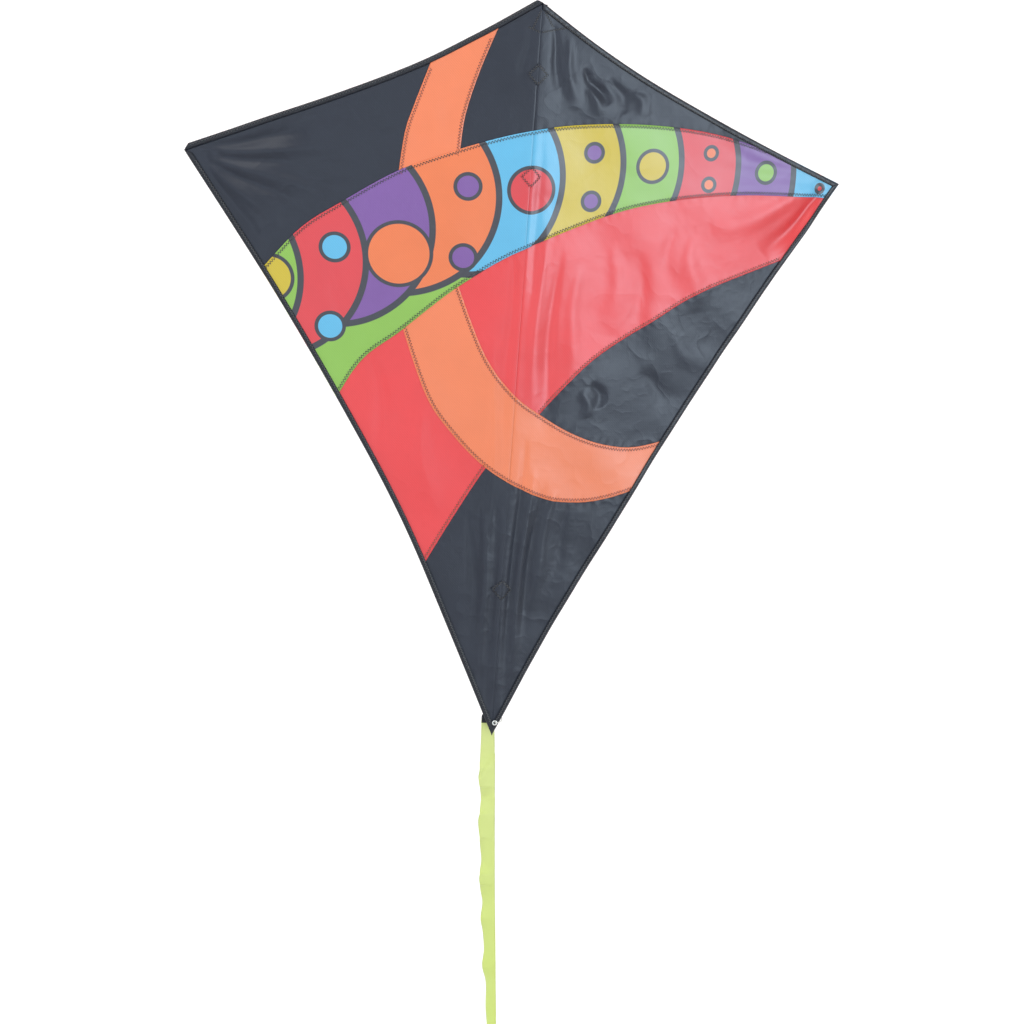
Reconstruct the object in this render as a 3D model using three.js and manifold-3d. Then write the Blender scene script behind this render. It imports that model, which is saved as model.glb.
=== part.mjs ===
// A diamond kite with an applique sail, a two-piece spine, two cross spars in a springy hub,
// and a ribbon tail. Millimetres, +Z up along the spine, the sail's front faces -Y, and the
// origin is where the cross spars meet the spine.
import * as THREE from 'three';
import { mergeVertices } from 'three/addons/utils/BufferGeometryUtils.js';
import Module from 'manifold-3d';

const wasm = await Module();
wasm.setup();

// Sail
const noseHeight = 215;
const tailDepth = 725;
const halfSpan = 425;
const sweepBack = THREE.MathUtils.degToRad(13.8);
const hingeX = 6;
const clothThickness = 0.8;
const hemWidth = 7;
const hemProud = 0.4;
const fitGap = 0.3;
const wingFoot = -697;

// Frame
const spineRadius = 2.5;
const spineY = 5.5;
const spineTop = 206;
const spineFoot = -716;
const spineJoin = -50;
const ferruleLength = 42;
const ferruleRadius = 3.6;
const sleeveRadius = 4.6;
const capRadius = 3.6;
const sparRadius = 2;
const sparY = 5.6;
const sparStart = 20;
const armStart = 16;
const armEnd = 44;
const armRadius = 4;
const hubHeight = 26;
const hubWidth = 8.8;
const hubBack = 13.5;

// Patches and tail
const patchSize = 14;
const patchThickness = 1;
const upperPatchZ = 127;
const lowerPatchZ = -531;
const eyeletAt = new THREE.Vector3(2.5, -0.1, -708);
const tailPivot = new THREE.Vector3(-4, 13.5, -692);
const linkRadius = 3.6;
const lineRadius = 0.6;
const tabDrop = 2.2;
const ribbonWidth = 20;
const ribbonThickness = 0.8;
const rollRadius = 24;
const rollHole = 5;
const rollCentre = new THREE.Vector3(-6, tailPivot.y, -1182);
const tieInHole = 4.2;
const tieWidth = 4;
const tieThickness = 0.9;

const roundSides = 16;

const kite = new THREE.Group();
const spine = new THREE.Group();
const leftWing = new THREE.Group();
const rightWing = new THREE.Group();
const tail = new THREE.Group();
leftWing.position.x = -hingeX;
leftWing.rotation.z = -sweepBack;
rightWing.position.x = hingeX;
rightWing.rotation.z = sweepBack;
kite.add(spine, leftWing, rightWing, tail);

const finish = (color, roughness, metalness = 0) => ({ color, roughness, metalness });
const charcoal = finish(0x3e4450, 0.62);
const red = finish(0xec585c, 0.6);
const orange = finish(0xf99870, 0.6);
const bandPrint = finish(0x70c8ee, 0.6);
const lime = finish(0xd0e87a, 0.55);
const tape = finish(0x2c3038, 0.7);
const fibreglass = finish(0x1d1e20, 0.3);
const vinyl = finish(0x17181a, 0.45);
const brass = finish(0xb08a4a, 0.35, 1);
const whiteLine = finish(0xf2f2ee, 0.6);
const elastic = finish(0xb98a5a, 0.8);

function add(group, name, geometry, look) {
  const mesh = new THREE.Mesh(geometry, new THREE.MeshStandardMaterial(look));
  mesh.name = name;
  group.add(mesh);
  return mesh;
}

// A closed geometry as a solid that can be joined and cut, and back again.
function toSolid(geometry) {
  const bare = geometry.clone();
  bare.deleteAttribute('normal');
  bare.deleteAttribute('uv');
  const merged = mergeVertices(bare, 1e-4);
  const vertProperties = new Float32Array(merged.attributes.position.array);
  const triVerts = new Uint32Array(merged.index.array);
  return new wasm.Manifold(new wasm.Mesh({ numProp: 3, vertProperties, triVerts }));
}

function toGeometry(solid) {
  const { vertProperties, triVerts } = solid.getMesh();
  const geometry = new THREE.BufferGeometry();
  geometry.setAttribute('position', new THREE.BufferAttribute(new Float32Array(vertProperties), 3));
  geometry.setIndex(new THREE.BufferAttribute(new Uint32Array(triVerts), 1));
  geometry.computeVertexNormals();
  return geometry;
}

// An outline drawn in the front view, made into a plate from yFront back to yBack.
function plate(points, yFront, yBack) {
  const shape = new THREE.Shape(points);
  const geometry = new THREE.ExtrudeGeometry(shape, { depth: yBack - yFront, bevelEnabled: false });
  geometry.rotateX(Math.PI / 2);
  geometry.translate(0, yBack, 0);
  return geometry;
}

const at = (x, z) => new THREE.Vector2(x, z);
const spline = (...pairs) => new THREE.SplineCurve(pairs.map(([x, z]) => at(x, z)));

// Each edge of the sail, from the nose or the tail to a wing tip, drawn in the front view.
const edges = {
  upperLeft: spline([0, 215], [-73, 167], [-147, 124], [-240, 80], [-330, 41], [-425, 0]),
  upperRight: spline([0, 215], [72, 168], [150, 124], [241, 80], [330, 40], [425, 0]),
  lowerLeft: spline([0, -725], [-64, -588], [-131, -450], [-205, -324], [-306, -168], [-425, 0]),
  lowerRight: spline([0, -725], [70, -583], [145, -449], [224, -312], [318, -160], [425, 0]),
};

// The seams of the applique, drawn in the front view and run on past the sail's edge.
const seams = {
  bandTop: spline([-345, -170], [-282, -90], [-228, -48], [-162, -4], [-88, 29], [-3, 57],
    [80, 68], [165, 69], [251, 59], [350, 32]),
  bandFoot: spline([-240, -335], [-196, -251], [-146, -205], [-81, -145], [-16, -99], [62, -63],
    [152, -33], [276, -17], [430, -19]),
  swooshFoot: spline([34, -301], [97, -234], [178, -181], [233, -147], [295, -121], [385, -88]),
  stripeLeft: spline([-162, -3], [-157, 46], [-147, 83], [-129, 140]),
  stripeRight: spline([-89, 30], [-85, 70], [-71, 125], [-48, 192]),
  hookOuter: spline([-146, -205], [-113, -282], [-82, -326], [-30, -374], [40, -409], [89, -417],
    [134, -412], [190, -394]),
  hookInner: spline([-81, -145], [-43, -226], [-5, -274], [34, -302], [78, -326], [123, -341],
    [169, -345], [225, -332]),
  redFoot: spline([-30, -374], [-64, -434], [-112, -528]),
};

// Points of a curve between two values of x, moved sideways: to the left of its own direction
// where side is 1 and to the right where it is -1.
function run(curve, side, shift, fromX = -Infinity, toX = Infinity, steps = 40) {
  const fine = 600;
  let first = fine;
  let last = 0;
  for (let i = 0; i <= fine; i += 1) {
    const { x } = curve.getPoint(i / fine);
    if (x >= fromX && x <= toX) {
      first = Math.min(first, i);
      last = Math.max(last, i);
    }
  }
  const points = [];
  for (let i = 0; i <= steps; i += 1) {
    const t = THREE.MathUtils.lerp(first, last, i / steps) / fine;
    const point = curve.getPoint(t);
    const along = curve.getTangent(t);
    points.push(at(point.x - side * shift * along.y, point.y + side * shift * along.x));
  }
  return points;
}

const half = fitGap / 2;
const far = 600;
const up = (curve, fromX, toX) => run(curve, 1, half, fromX, toX);
const down = (curve, fromX, toX) => run(curve, -1, half, fromX, toX);
const back = (points) => points.reverse();

// Each cut piece of cloth as one outline over both wings.
const cuts = {
  cornerBlack: [
    ...up(seams.bandTop, -far, -162),
    ...up(seams.stripeLeft),
    at(-129, far),
    at(-far, far),
    at(-far, -170),
  ],
  stripe: [
    ...down(seams.stripeLeft),
    at(-129, far),
    at(-48, far),
    ...back(up(seams.stripeRight)),
    ...back(up(seams.bandTop, -162, -89)),
  ],
  noseBlack: [
    ...down(seams.stripeRight),
    at(-48, far),
    at(far, far),
    at(far, 32),
    ...back(up(seams.bandTop, -89, far)),
  ],
  band: [
    ...down(seams.bandTop),
    at(far, 32),
    at(far, -19),
    ...back(up(seams.bandFoot)),
    at(-far, -335),
    at(-far, -170),
  ],
  sideRed: [
    ...down(seams.bandFoot, -far, -147),
    ...down(seams.hookOuter, -145, -31),
    ...down(seams.redFoot, -far, -31),
    at(-far, -528),
    at(-far, -335),
  ],
  hook: [
    ...down(seams.bandFoot, -145, -82),
    ...down(seams.hookInner, -80, far),
    at(far, -332),
    at(far, -394),
    ...back(up(seams.hookOuter, -143, far)),
  ],
  swoosh: [
    ...down(seams.bandFoot, -80, far),
    at(far, -19),
    at(far, -88),
    ...back(up(seams.swooshFoot)),
    ...back(up(seams.hookInner, -79, 33)),
  ],
  sideBlack: [
    ...down(seams.swooshFoot),
    at(far, -88),
    at(far, -332),
    ...back(up(seams.hookInner, 33, far)),
  ],
  footBlack: [
    ...down(seams.hookOuter, -30, far),
    at(far, -394),
    at(far, -far - far),
    at(-far, -far - far),
    at(-far, -528),
    ...back(up(seams.redFoot)),
  ],
};

// A front-view point as the wing's own spanwise distance from its fold line.
const toWing = (side) => (point) => at((point.x - side * hingeX) / Math.cos(sweepBack), point.y);

function wingPlate(side, points, yFront, yBack) {
  const local = points.map(toWing(side));
  if (THREE.ShapeUtils.isClockWise(local)) {
    local.reverse();
  }
  return toSolid(plate(local, yFront, yBack));
}

// The whole wing inside its two edges, drawn in by inset.
function wingBlank(side, inset, yFront, yBack) {
  const upper = side < 0 ? edges.upperLeft : edges.upperRight;
  const lower = side < 0 ? edges.lowerLeft : edges.lowerRight;
  const underUpper = [...run(upper, -side, inset), at(side * far, -far * 2), at(0, -far * 2)];
  const overLower = [...run(lower, side, inset), at(side * far, far), at(0, far)];
  const inner = side * hingeX;
  const bounds = [at(inner, wingFoot), at(side * far, wingFoot), at(side * far, far), at(inner, far)];
  return wingPlate(side, underUpper, yFront, yBack)
    .intersect(wingPlate(side, overLower, yFront, yBack))
    .intersect(wingPlate(side, bounds, yFront - 1, yBack + 1));
}

function rodAlong(radius, from, to, sides = roundSides) {
  const geometry = new THREE.CylinderGeometry(radius, radius, to - from, sides);
  geometry.rotateX(Math.PI / 2);
  geometry.translate(0, 0, (from + to) / 2);
  return geometry;
}

// A lathe profile of [radius, height] pairs, turned about Z.
function turned(pairs, sides = roundSides) {
  const geometry = new THREE.LatheGeometry(pairs.map(([r, h]) => at(r, h)), sides);
  geometry.rotateX(Math.PI / 2);
  return geometry;
}

const tubeProfile = (inner, outer, from, to) => [
  [inner, from],
  [outer, from],
  [outer, to],
  [inner, to],
  [inner, from],
];

// A cup that covers the top end of a rod and stops at height top.
const cupProfile = (inner, outer, mouth, floor, top) => [
  [0, floor],
  [inner, floor],
  [inner, mouth],
  [outer, mouth],
  [outer, top - 1],
  [outer - 1, top],
  [0, top],
];

// Turns a shape made along Z so that it runs out along the wing, which side gives.
function alongWing(geometry, side) {
  geometry.rotateY(side * Math.PI / 2);
  geometry.translate(0, sparY, 0);
  return geometry;
}

function placed(geometry, x, y, z) {
  geometry.translate(x, y, z);
  return geometry;
}

function buildSpine() {
  const onAxis = (geometry) => placed(geometry, 0, spineY, 0);
  const halfJoin = fitGap / 2;
  add(spine, 'spine_rod_upper', onAxis(rodAlong(spineRadius, spineJoin + halfJoin, spineTop)), fibreglass);
  add(spine, 'spine_rod_lower', onAxis(rodAlong(spineRadius, spineFoot, spineJoin - halfJoin)), fibreglass);

  const bore = spineRadius + fitGap;
  const ferruleFoot = spineJoin - ferruleLength / 2;
  const ferruleTop = spineJoin + ferruleLength / 2;
  const ferrule = turned(tubeProfile(bore, ferruleRadius, ferruleFoot, ferruleTop));
  add(spine, 'spine_ferrule', onAxis(ferrule), brass);

  const capMouth = spineTop - 14;
  const capTop = spineTop + 4;
  const noseCap = turned(cupProfile(bore, capRadius, capMouth, spineTop + fitGap, capTop));
  add(spine, 'nose_end_cap', onAxis(noseCap), vinyl);
  const tailCap = turned(cupProfile(bore, capRadius, -spineFoot - 14, -spineFoot + fitGap, -spineFoot + 4));
  tailCap.rotateX(Math.PI);
  add(spine, 'tail_end_cap', onAxis(tailCap), vinyl);

  const pocketMouth = 178;
  const pocket = turned(cupProfile(capRadius + fitGap, 5.1, pocketMouth, capTop + fitGap, noseHeight - 1));
  add(spine, 'nose_pocket', onAxis(pocket), tape);
  const sleeveHole = bore + 0.1;
  const upperSleeve = turned(tubeProfile(sleeveHole, sleeveRadius, hubHeight / 2 + 4, pocketMouth - fitGap));
  add(spine, 'spine_sleeve_upper', onAxis(upperSleeve), charcoal);
  const sleeveFoot = spineFoot + 14.4;
  const lowerSleeve = turned(tubeProfile(sleeveHole, sleeveRadius, sleeveFoot, ferruleFoot - 6));
  add(spine, 'spine_sleeve_lower', onAxis(lowerSleeve), charcoal);

  buildHubCore(bore);
  const diamond = [at(0, -patchSize), at(patchSize, 0), at(0, patchSize), at(-patchSize, 0)];
  const patchBack = -fitGap;
  const patchFront = patchBack - patchThickness;
  const upperPatch = placed(plate(diamond, patchFront, patchBack), 0, 0, upperPatchZ);
  add(spine, 'upper_bridle_patch', upperPatch, tape);
  const lowerPatch = placed(plate(diamond, patchFront, patchBack), 0, 0, lowerPatchZ);
  add(spine, 'lower_bridle_patch', lowerPatch, tape);
  const chevron = [at(0, -16), at(patchSize, 2), at(patchSize, 14), at(-patchSize, 14), at(-patchSize, 2)];
  add(spine, 'centre_patch', plate(chevron, patchFront, patchBack), tape);
  buildTailTip();
}

// The moulded hub: a rounded block with the spine through it.
function buildHubCore(bore) {
  const halfWidth = hubWidth / 2;
  const rounding = 2;
  const shape = new THREE.Shape();
  shape.moveTo(-halfWidth + rounding, 0.5);
  shape.lineTo(halfWidth - rounding, 0.5);
  shape.quadraticCurveTo(halfWidth, 0.5, halfWidth, 0.5 + rounding);
  shape.lineTo(halfWidth, hubBack - rounding);
  shape.quadraticCurveTo(halfWidth, hubBack, halfWidth - rounding, hubBack);
  shape.lineTo(-halfWidth + rounding, hubBack);
  shape.quadraticCurveTo(-halfWidth, hubBack, -halfWidth, hubBack - rounding);
  shape.lineTo(-halfWidth, 0.5 + rounding);
  shape.quadraticCurveTo(-halfWidth, 0.5, -halfWidth + rounding, 0.5);
  const hole = new THREE.Path();
  hole.absarc(0, spineY, bore, 0, Math.PI * 2, true);
  shape.holes.push(hole);
  const options = { depth: hubHeight, bevelEnabled: false, curveSegments: 6 };
  const geometry = new THREE.ExtrudeGeometry(shape, options);
  add(spine, 'hub_core', placed(geometry, 0, 0, -hubHeight / 2), vinyl);
}

// The stiffened foot of the sail, its eyelet, and the line that holds the tail.
function buildTailTip() {
  const tipHalf = 12;
  const top = wingFoot - fitGap;
  const tip = [at(0, -tailDepth), at(tipHalf, top), at(-tipHalf, top)];
  add(spine, 'tail_tip_patch', plate(tip, 0.2, 0.6), tape);

  const eyelet = turned(tubeProfile(1.7, 3.5, -0.6, 0.6));
  eyelet.rotateX(Math.PI / 2);
  eyelet.translate(eyeletAt.x, eyeletAt.y - 0.6, eyeletAt.z);
  add(spine, 'tail_eyelet', eyelet, whiteLine);

  // The line leaves the eyelet, turns round the right edge, and runs behind the spine to a knot.
  const lineY = tailPivot.y - 1.9;
  const knotX = tailPivot.x - 3.4;
  const lineRoute = new THREE.CatmullRomCurve3([
    new THREE.Vector3(eyeletAt.x + 4.6, -1, -708),
    new THREE.Vector3(12.4, -1, -707),
    new THREE.Vector3(14.2, 1.6, -706),
    new THREE.Vector3(13.4, 6, -703),
    new THREE.Vector3(10.6, 10, -697.5),
    new THREE.Vector3(6.4, lineY, -693.4),
    new THREE.Vector3(2, lineY, tailPivot.z),
    new THREE.Vector3(knotX, lineY, tailPivot.z),
  ]);
  const knot = placed(new THREE.SphereGeometry(1.1, 12, 8), knotX, lineY, tailPivot.z);
  const line = toSolid(swept(lineRoute, lineRadius, 36)).add(toSolid(knot));
  add(spine, 'tail_line', toGeometry(line), whiteLine);
}

// A round line of eight sides along a route.
function swept(route, radius, steps) {
  const section = new THREE.Shape();
  const sides = 8;
  for (let i = 0; i < sides; i += 1) {
    const angle = i / sides * Math.PI * 2;
    const x = radius * Math.cos(angle);
    const y = radius * Math.sin(angle);
    if (i === 0) {
      section.moveTo(x, y);
    } else {
      section.lineTo(x, y);
    }
  }
  section.closePath();
  return new THREE.ExtrudeGeometry(section, { steps, extrudePath: route, bevelEnabled: false });
}

const panels = {
  left: {
    left_corner_black: ['cornerBlack', charcoal],
    left_orange_stripe: ['stripe', orange],
    left_nose_black: ['noseBlack', charcoal],
    left_print_band: ['band', bandPrint],
    left_red_side: ['sideRed', red],
    left_orange_hook: ['hook', orange],
    left_red_swoosh: ['swoosh', red],
    left_foot_black: ['footBlack', charcoal],
  },
  right: {
    right_nose_black: ['noseBlack', charcoal],
    right_print_band: ['band', bandPrint],
    right_red_swoosh: ['swoosh', red],
    right_side_black: ['sideBlack', charcoal],
    right_orange_hook: ['hook', orange],
    right_foot_black: ['footBlack', charcoal],
  },
};

function buildWing(group, name, side) {
  const cloth = wingBlank(side, hemWidth + fitGap, 0, clothThickness);
  for (const [node, [cut, look]] of Object.entries(panels[name])) {
    const outline = wingPlate(side, cuts[cut], -1, clothThickness + 1);
    add(group, node, toGeometry(cloth.intersect(outline)), look);
  }

  const hemFront = -hemProud;
  const hemBack = clothThickness + hemProud;
  const rim = wingBlank(side, 0, hemFront, hemBack)
    .subtract(wingBlank(side, hemWidth, hemFront - 1, hemBack + 1));
  const above = [at(0, half), at(side * far, half), at(side * far, far), at(0, far)];
  const below = [at(0, -half), at(side * far, -half), at(side * far, -far * 2), at(0, -far * 2)];
  const upperHem = rim.intersect(wingPlate(side, above, hemFront - 1, hemBack + 1));
  const lowerHem = rim.intersect(wingPlate(side, below, hemFront - 1, hemBack + 1));
  add(group, `${name}_upper_hem`, toGeometry(upperHem), tape);
  add(group, `${name}_lower_hem`, toGeometry(lowerHem), tape);
  buildSpar(group, name, side, hemBack);
}

// One cross spar, its moulded arm at the hub, its end cap, and the sewn pocket at the wing tip.
function buildSpar(group, name, side, hemBack) {
  const span = (halfSpan - hingeX) / Math.cos(sweepBack);
  const sparEnd = span - 18;
  const bore = sparRadius + fitGap;
  const arm = turned([
    [0, armStart],
    [armRadius, armStart],
    [armRadius, armEnd],
    [bore, armEnd],
    [bore, sparStart - fitGap],
    [0, sparStart - fitGap],
  ]);
  add(group, `${name}_hub_arm`, alongWing(arm, side), vinyl);
  add(group, `${name}_cross_spar`, alongWing(rodAlong(sparRadius, sparStart, sparEnd), side), fibreglass);
  const capOuter = sparRadius + 1.2;
  const cap = turned(cupProfile(bore, capOuter, sparEnd - 12, sparEnd + fitGap, sparEnd + 3));
  add(group, `${name}_spar_cap`, alongWing(cap, side), vinyl);

  const pocketFront = hemBack + fitGap;
  const pocketBack = sparY + capOuter + 1.4;
  const mouth = halfSpan - 42;
  const box = [at(side * mouth, -34), at(side * far, -34), at(side * far, 34), at(side * mouth, 34)];
  const hollow = alongWing(rodAlong(capOuter + fitGap, 0, sparEnd + 3 + fitGap), side);
  const pocket = wingBlank(side, 1, pocketFront, pocketBack)
    .intersect(wingPlate(side, box, pocketFront - 1, pocketBack + 1))
    .subtract(toSolid(hollow));
  add(group, `${name}_tip_pocket`, toGeometry(pocket), tape);
}

// The ribbon tail: a link of line, a webbing tab, the hanging ribbon and the spare length rolled up.
function buildTail() {
  const link = new THREE.TorusGeometry(linkRadius, lineRadius, 8, 24);
  link.rotateY(Math.PI / 2);
  add(tail, 'tail_link', placed(link, tailPivot.x, tailPivot.y, tailPivot.z), whiteLine);

  const tabTop = tailPivot.z - linkRadius - tabDrop;
  const tabFoot = -712;
  const halfTab = ribbonWidth / 2 - 1;
  const tab = [at(-halfTab, tabFoot), at(halfTab, tabFoot), at(halfTab, tabTop), at(-halfTab, tabTop)];
  const front = tailPivot.y - ribbonThickness / 2;
  const rear = tailPivot.y + ribbonThickness / 2;
  add(tail, 'tail_tab', placed(plate(tab, front, rear), tailPivot.x, 0, 0), tape);

  const ribbonTop = [-4, tabFoot - fitGap];
  const middle = spline(ribbonTop, [-4, tabFoot - 30], [4, -816], [13, -964], [26, -1110], [25, -1150]);
  const halfRibbon = ribbonWidth / 2 - 1;
  const right = run(middle, 1, halfRibbon, -far, far, 24);
  const left = run(middle, -1, halfRibbon, -far, far, 24);
  add(tail, 'tail_ribbon', plate([...right, ...back(left)], front, rear), lime);

  const halfRoll = ribbonWidth / 2;
  const roll = turned(tubeProfile(rollHole, rollRadius, -halfRoll, halfRoll), 32);
  roll.rotateX(Math.PI / 2);
  add(tail, 'tail_roll', placed(roll, rollCentre.x, rollCentre.y, rollCentre.z), lime);

  // An elastic band runs through the roll's hole and round its outside, clear of the incoming ribbon.
  const bandOutline = (near, far, half) => [
    at(-far, -half),
    at(-near, -half),
    at(-near, half),
    at(-far, half),
  ];
  const bandFar = rollRadius + fitGap;
  const bandHalf = halfRoll + fitGap;
  const outerHalf = bandHalf + tieThickness;
  const band = new THREE.Shape(bandOutline(tieInHole - tieThickness, bandFar + tieThickness, outerHalf));
  band.holes.push(new THREE.Path(bandOutline(tieInHole, bandFar, bandHalf)));
  const tie = new THREE.ExtrudeGeometry(band, { depth: tieWidth, bevelEnabled: false });
  tie.translate(0, 0, -tieWidth / 2);
  add(tail, 'tail_tie', placed(tie, rollCentre.x, rollCentre.y, rollCentre.z), elastic);
}

buildSpine();
buildWing(leftWing, 'left', -1);
buildWing(rightWing, 'right', 1);
buildTail();

export default kite;
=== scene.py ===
import bpy
import bmesh
import numpy as np
from math import cos, pi, radians, sin
from mathutils import Matrix, Vector


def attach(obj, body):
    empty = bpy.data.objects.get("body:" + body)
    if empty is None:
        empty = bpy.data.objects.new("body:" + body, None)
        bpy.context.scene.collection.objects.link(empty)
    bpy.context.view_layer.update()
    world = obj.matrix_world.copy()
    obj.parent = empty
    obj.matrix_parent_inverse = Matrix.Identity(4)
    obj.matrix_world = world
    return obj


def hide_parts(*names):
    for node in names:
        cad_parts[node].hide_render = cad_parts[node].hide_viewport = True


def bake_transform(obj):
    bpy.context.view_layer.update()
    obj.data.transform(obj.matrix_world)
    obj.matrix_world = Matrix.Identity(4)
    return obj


# A diamond kite seen from the front: a sewn applique sail over a sleeved spine and two swept-back
# cross spars, with a ribbon tail. Everything is in metres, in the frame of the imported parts.
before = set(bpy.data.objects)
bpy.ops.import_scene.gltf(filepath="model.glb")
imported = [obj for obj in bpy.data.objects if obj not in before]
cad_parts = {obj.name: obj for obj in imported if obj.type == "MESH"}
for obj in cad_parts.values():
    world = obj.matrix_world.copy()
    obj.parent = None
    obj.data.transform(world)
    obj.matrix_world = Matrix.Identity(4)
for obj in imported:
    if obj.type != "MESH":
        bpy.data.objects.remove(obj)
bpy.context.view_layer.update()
mm = 0.001
print("frame loaded:", len(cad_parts), "nodes")


# ---- camera
view = dict(azimuth=-10.07, elevation=12.3, tilt=4.06, distance=4.0, lens=110.2,
            target=(0.0061, 0.0, -0.4284))


def viewAxes(azimuth, elevation, tilt=0.0):
    # out points from the target to the camera; across and up are the picture's own axes
    a, e, t = radians(azimuth), radians(elevation), radians(tilt)
    out = Vector((sin(a) * cos(e), -cos(a) * cos(e), sin(e)))
    across = Vector((0, 0, 1)).cross(out).normalized()
    up = out.cross(across)
    return cos(t) * across + sin(t) * up, cos(t) * up - sin(t) * across, out


def placeCamera():
    across, up, out = viewAxes(view["azimuth"], view["elevation"], view["tilt"])
    data = bpy.data.cameras.new("camera")
    data.lens, data.clip_end = view["lens"], 50
    camera = bpy.data.objects.new("camera", data)
    bpy.context.collection.objects.link(camera)
    turn = Matrix((across, up, out)).transposed().to_4x4()
    camera.matrix_world = Matrix.Translation(Vector(view["target"]) + view["distance"] * out) @ turn
    bpy.context.scene.camera = camera


placeCamera()


# ---- shader maths
class Wire:
    # one output of a material's nodes, used as a number in arithmetic
    def __init__(self, finish, socket):
        self.finish, self.socket = finish, socket

    def maths(self, operation, *values, clamp=False):
        sockets = dict(enumerate((self,) + values))
        return self.finish.node("ShaderNodeMath", dict(operation=operation, use_clamp=clamp), sockets)

    def __add__(self, other):
        return self.maths("ADD", other)

    __radd__ = __add__

    def __sub__(self, other):
        return self.maths("SUBTRACT", other)

    def __rsub__(self, other):
        return self.finish.node("ShaderNodeMath", dict(operation="SUBTRACT"), {0: other, 1: self})

    def __mul__(self, other):
        return self.maths("MULTIPLY", other)

    __rmul__ = __mul__

    def __truediv__(self, other):
        return self.maths("DIVIDE", other)

    def sine(self):
        return self.maths("SINE")

    def clamped(self):
        return self.maths("ADD", 0.0, clamp=True)


class Finish:
    # a material under construction: node() adds any node, feed() joins wires to the main shader
    def __init__(self, name, **uniform):
        self.material = bpy.data.materials.new(name)
        self.material.use_nodes = True
        self.tree = self.material.node_tree
        self.shader = self.tree.nodes["Principled BSDF"]
        for key, value in uniform.items():
            self.shader.inputs[key.replace("_", " ")].default_value = value

    def node(self, kind, settings=None, sockets=None, output=0):
        made = self.tree.nodes.new(kind)
        for key, value in (settings or {}).items():
            setattr(made, key, value)
        for key, value in (sockets or {}).items():
            if isinstance(value, Wire):
                self.tree.links.new(value.socket, made.inputs[key])
            else:
                made.inputs[key].default_value = value
        return Wire(self, made.outputs[output])

    def feed(self, **wires):
        for key, wire in wires.items():
            self.tree.links.new(wire.socket, self.shader.inputs[key.replace("_", " ")])

    def mix(self, factor, a, b):
        return self.node("ShaderNodeMix", dict(data_type="RGBA"), {0: factor, 6: a, 7: b}, output=2)

    def own(self):
        return self.node("ShaderNodeTexCoord", output="Object")

    def flat(self):
        return self.node("ShaderNodeUVMap", dict(uv_map="flat"))

    def split(self, vector):
        return [self.node("ShaderNodeSeparateXYZ", None, {0: vector}, output=i) for i in range(2)]

    def noise(self, vector, scale, detail=2.0, rough=0.5):
        sockets = {"Vector": vector, "Scale": scale, "Detail": detail, "Roughness": rough}
        return self.node("ShaderNodeTexNoise", None, sockets)

    def bump(self, height, strength, distance):
        sockets = {"Height": height, "Strength": strength, "Distance": distance}
        return self.node("ShaderNodeBump", None, sockets)


def tint(red, green, blue):
    # a colour given 0 to 255, as the linear light that shaders want
    values = np.array([red, green, blue]) / 255
    return (*np.where(values > 0.04045, ((values + 0.055) / 1.055) ** 2.4, values / 12.92), 1.0)


# ---- cloths
# Pitches in millimetres. Each wrinkle pattern is its noise's scale and roughness, a power and a height.
clothLook = dict(
    twillPitch=3.2, checkPitch=6.2, twillDepth=0.05, checkDepth=0.03, fade=0.12, roughness=0.4, sheen=0.02,
    bump=0.55, bumpDepth=0.0007, clouds=9.0, crumple=26.0, roughVary=(0.1, 0.12), yarnSharpness=16.0,
    twillHeight=0.03, checkHeight=0.06, wrinkles=((34.0, 0.6, 5.0, 0.25), (13.0, 0.5, 8.0, 0.8)),
)


def weave(finish, flatMap):
    # diagonal twill: sin of (u + v) over its pitch; check: thicker yarns every checkPitch both ways
    u, v = finish.split(flatMap)
    twill = ((u + v) * (2 * pi / (clothLook["twillPitch"] * mm))).sine()
    turnsPerMetre = 2 * pi / (clothLook["checkPitch"] * mm)
    warp, weft = ((w * turnsPerMetre).sine().maths("POWER", clothLook["yarnSharpness"]) for w in (u, v))
    return twill, warp.maths("MAXIMUM", weft)


def plainVector(colour):
    return colour if isinstance(colour, Wire) else tuple(colour[:3])


def finishCloth(finish, flatMap, colour, depth=1.0):
    # shade = 1 + depth times twill, check and two noises; each wrinkle is 1 - 2 |noise - 1/2| to a power
    look = clothLook
    twill, check = weave(finish, flatMap)
    cloudy = finish.noise(flatMap, look["clouds"], 3.0)
    crumple = finish.noise(flatMap, look["crumple"], 3.0, 0.55)
    shade = twill * look["twillDepth"] + check * look["checkDepth"] + (cloudy - 0.5) * look["fade"]
    shade = (shade + (crumple - 0.5) * look["fade"]) * depth + 1.0
    sockets = {0: plainVector(colour), "Scale": shade}
    base = finish.node("ShaderNodeVectorMath", dict(operation="SCALE"), sockets)
    vary = look["roughVary"]
    rough = (cloudy * vary[0] + crumple * vary[1]) + (look["roughness"] - sum(vary) / 2)
    height = twill * look["twillHeight"] + check * look["checkHeight"] + crumple
    for scale, grain, power, weight in look["wrinkles"]:
        ridge = (finish.noise(flatMap, scale, 2.0, grain) - 0.5).maths("ABSOLUTE") * -2.0 + 1.0
        height = height + ridge.maths("POWER", power) * (weight * depth)
    normal = finish.bump(height, look["bump"], look["bumpDepth"])
    finish.feed(Base_Color=base, Roughness=rough, Normal=normal)
    return finish.material


def plainCloth(name, colour, depth=1.0, gloss=0.5):
    finish = Finish(name, Sheen_Weight=clothLook["sheen"], Sheen_Roughness=0.4, Specular_IOR_Level=gloss)
    return finishCloth(finish, finish.flat(), colour, depth)


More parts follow.
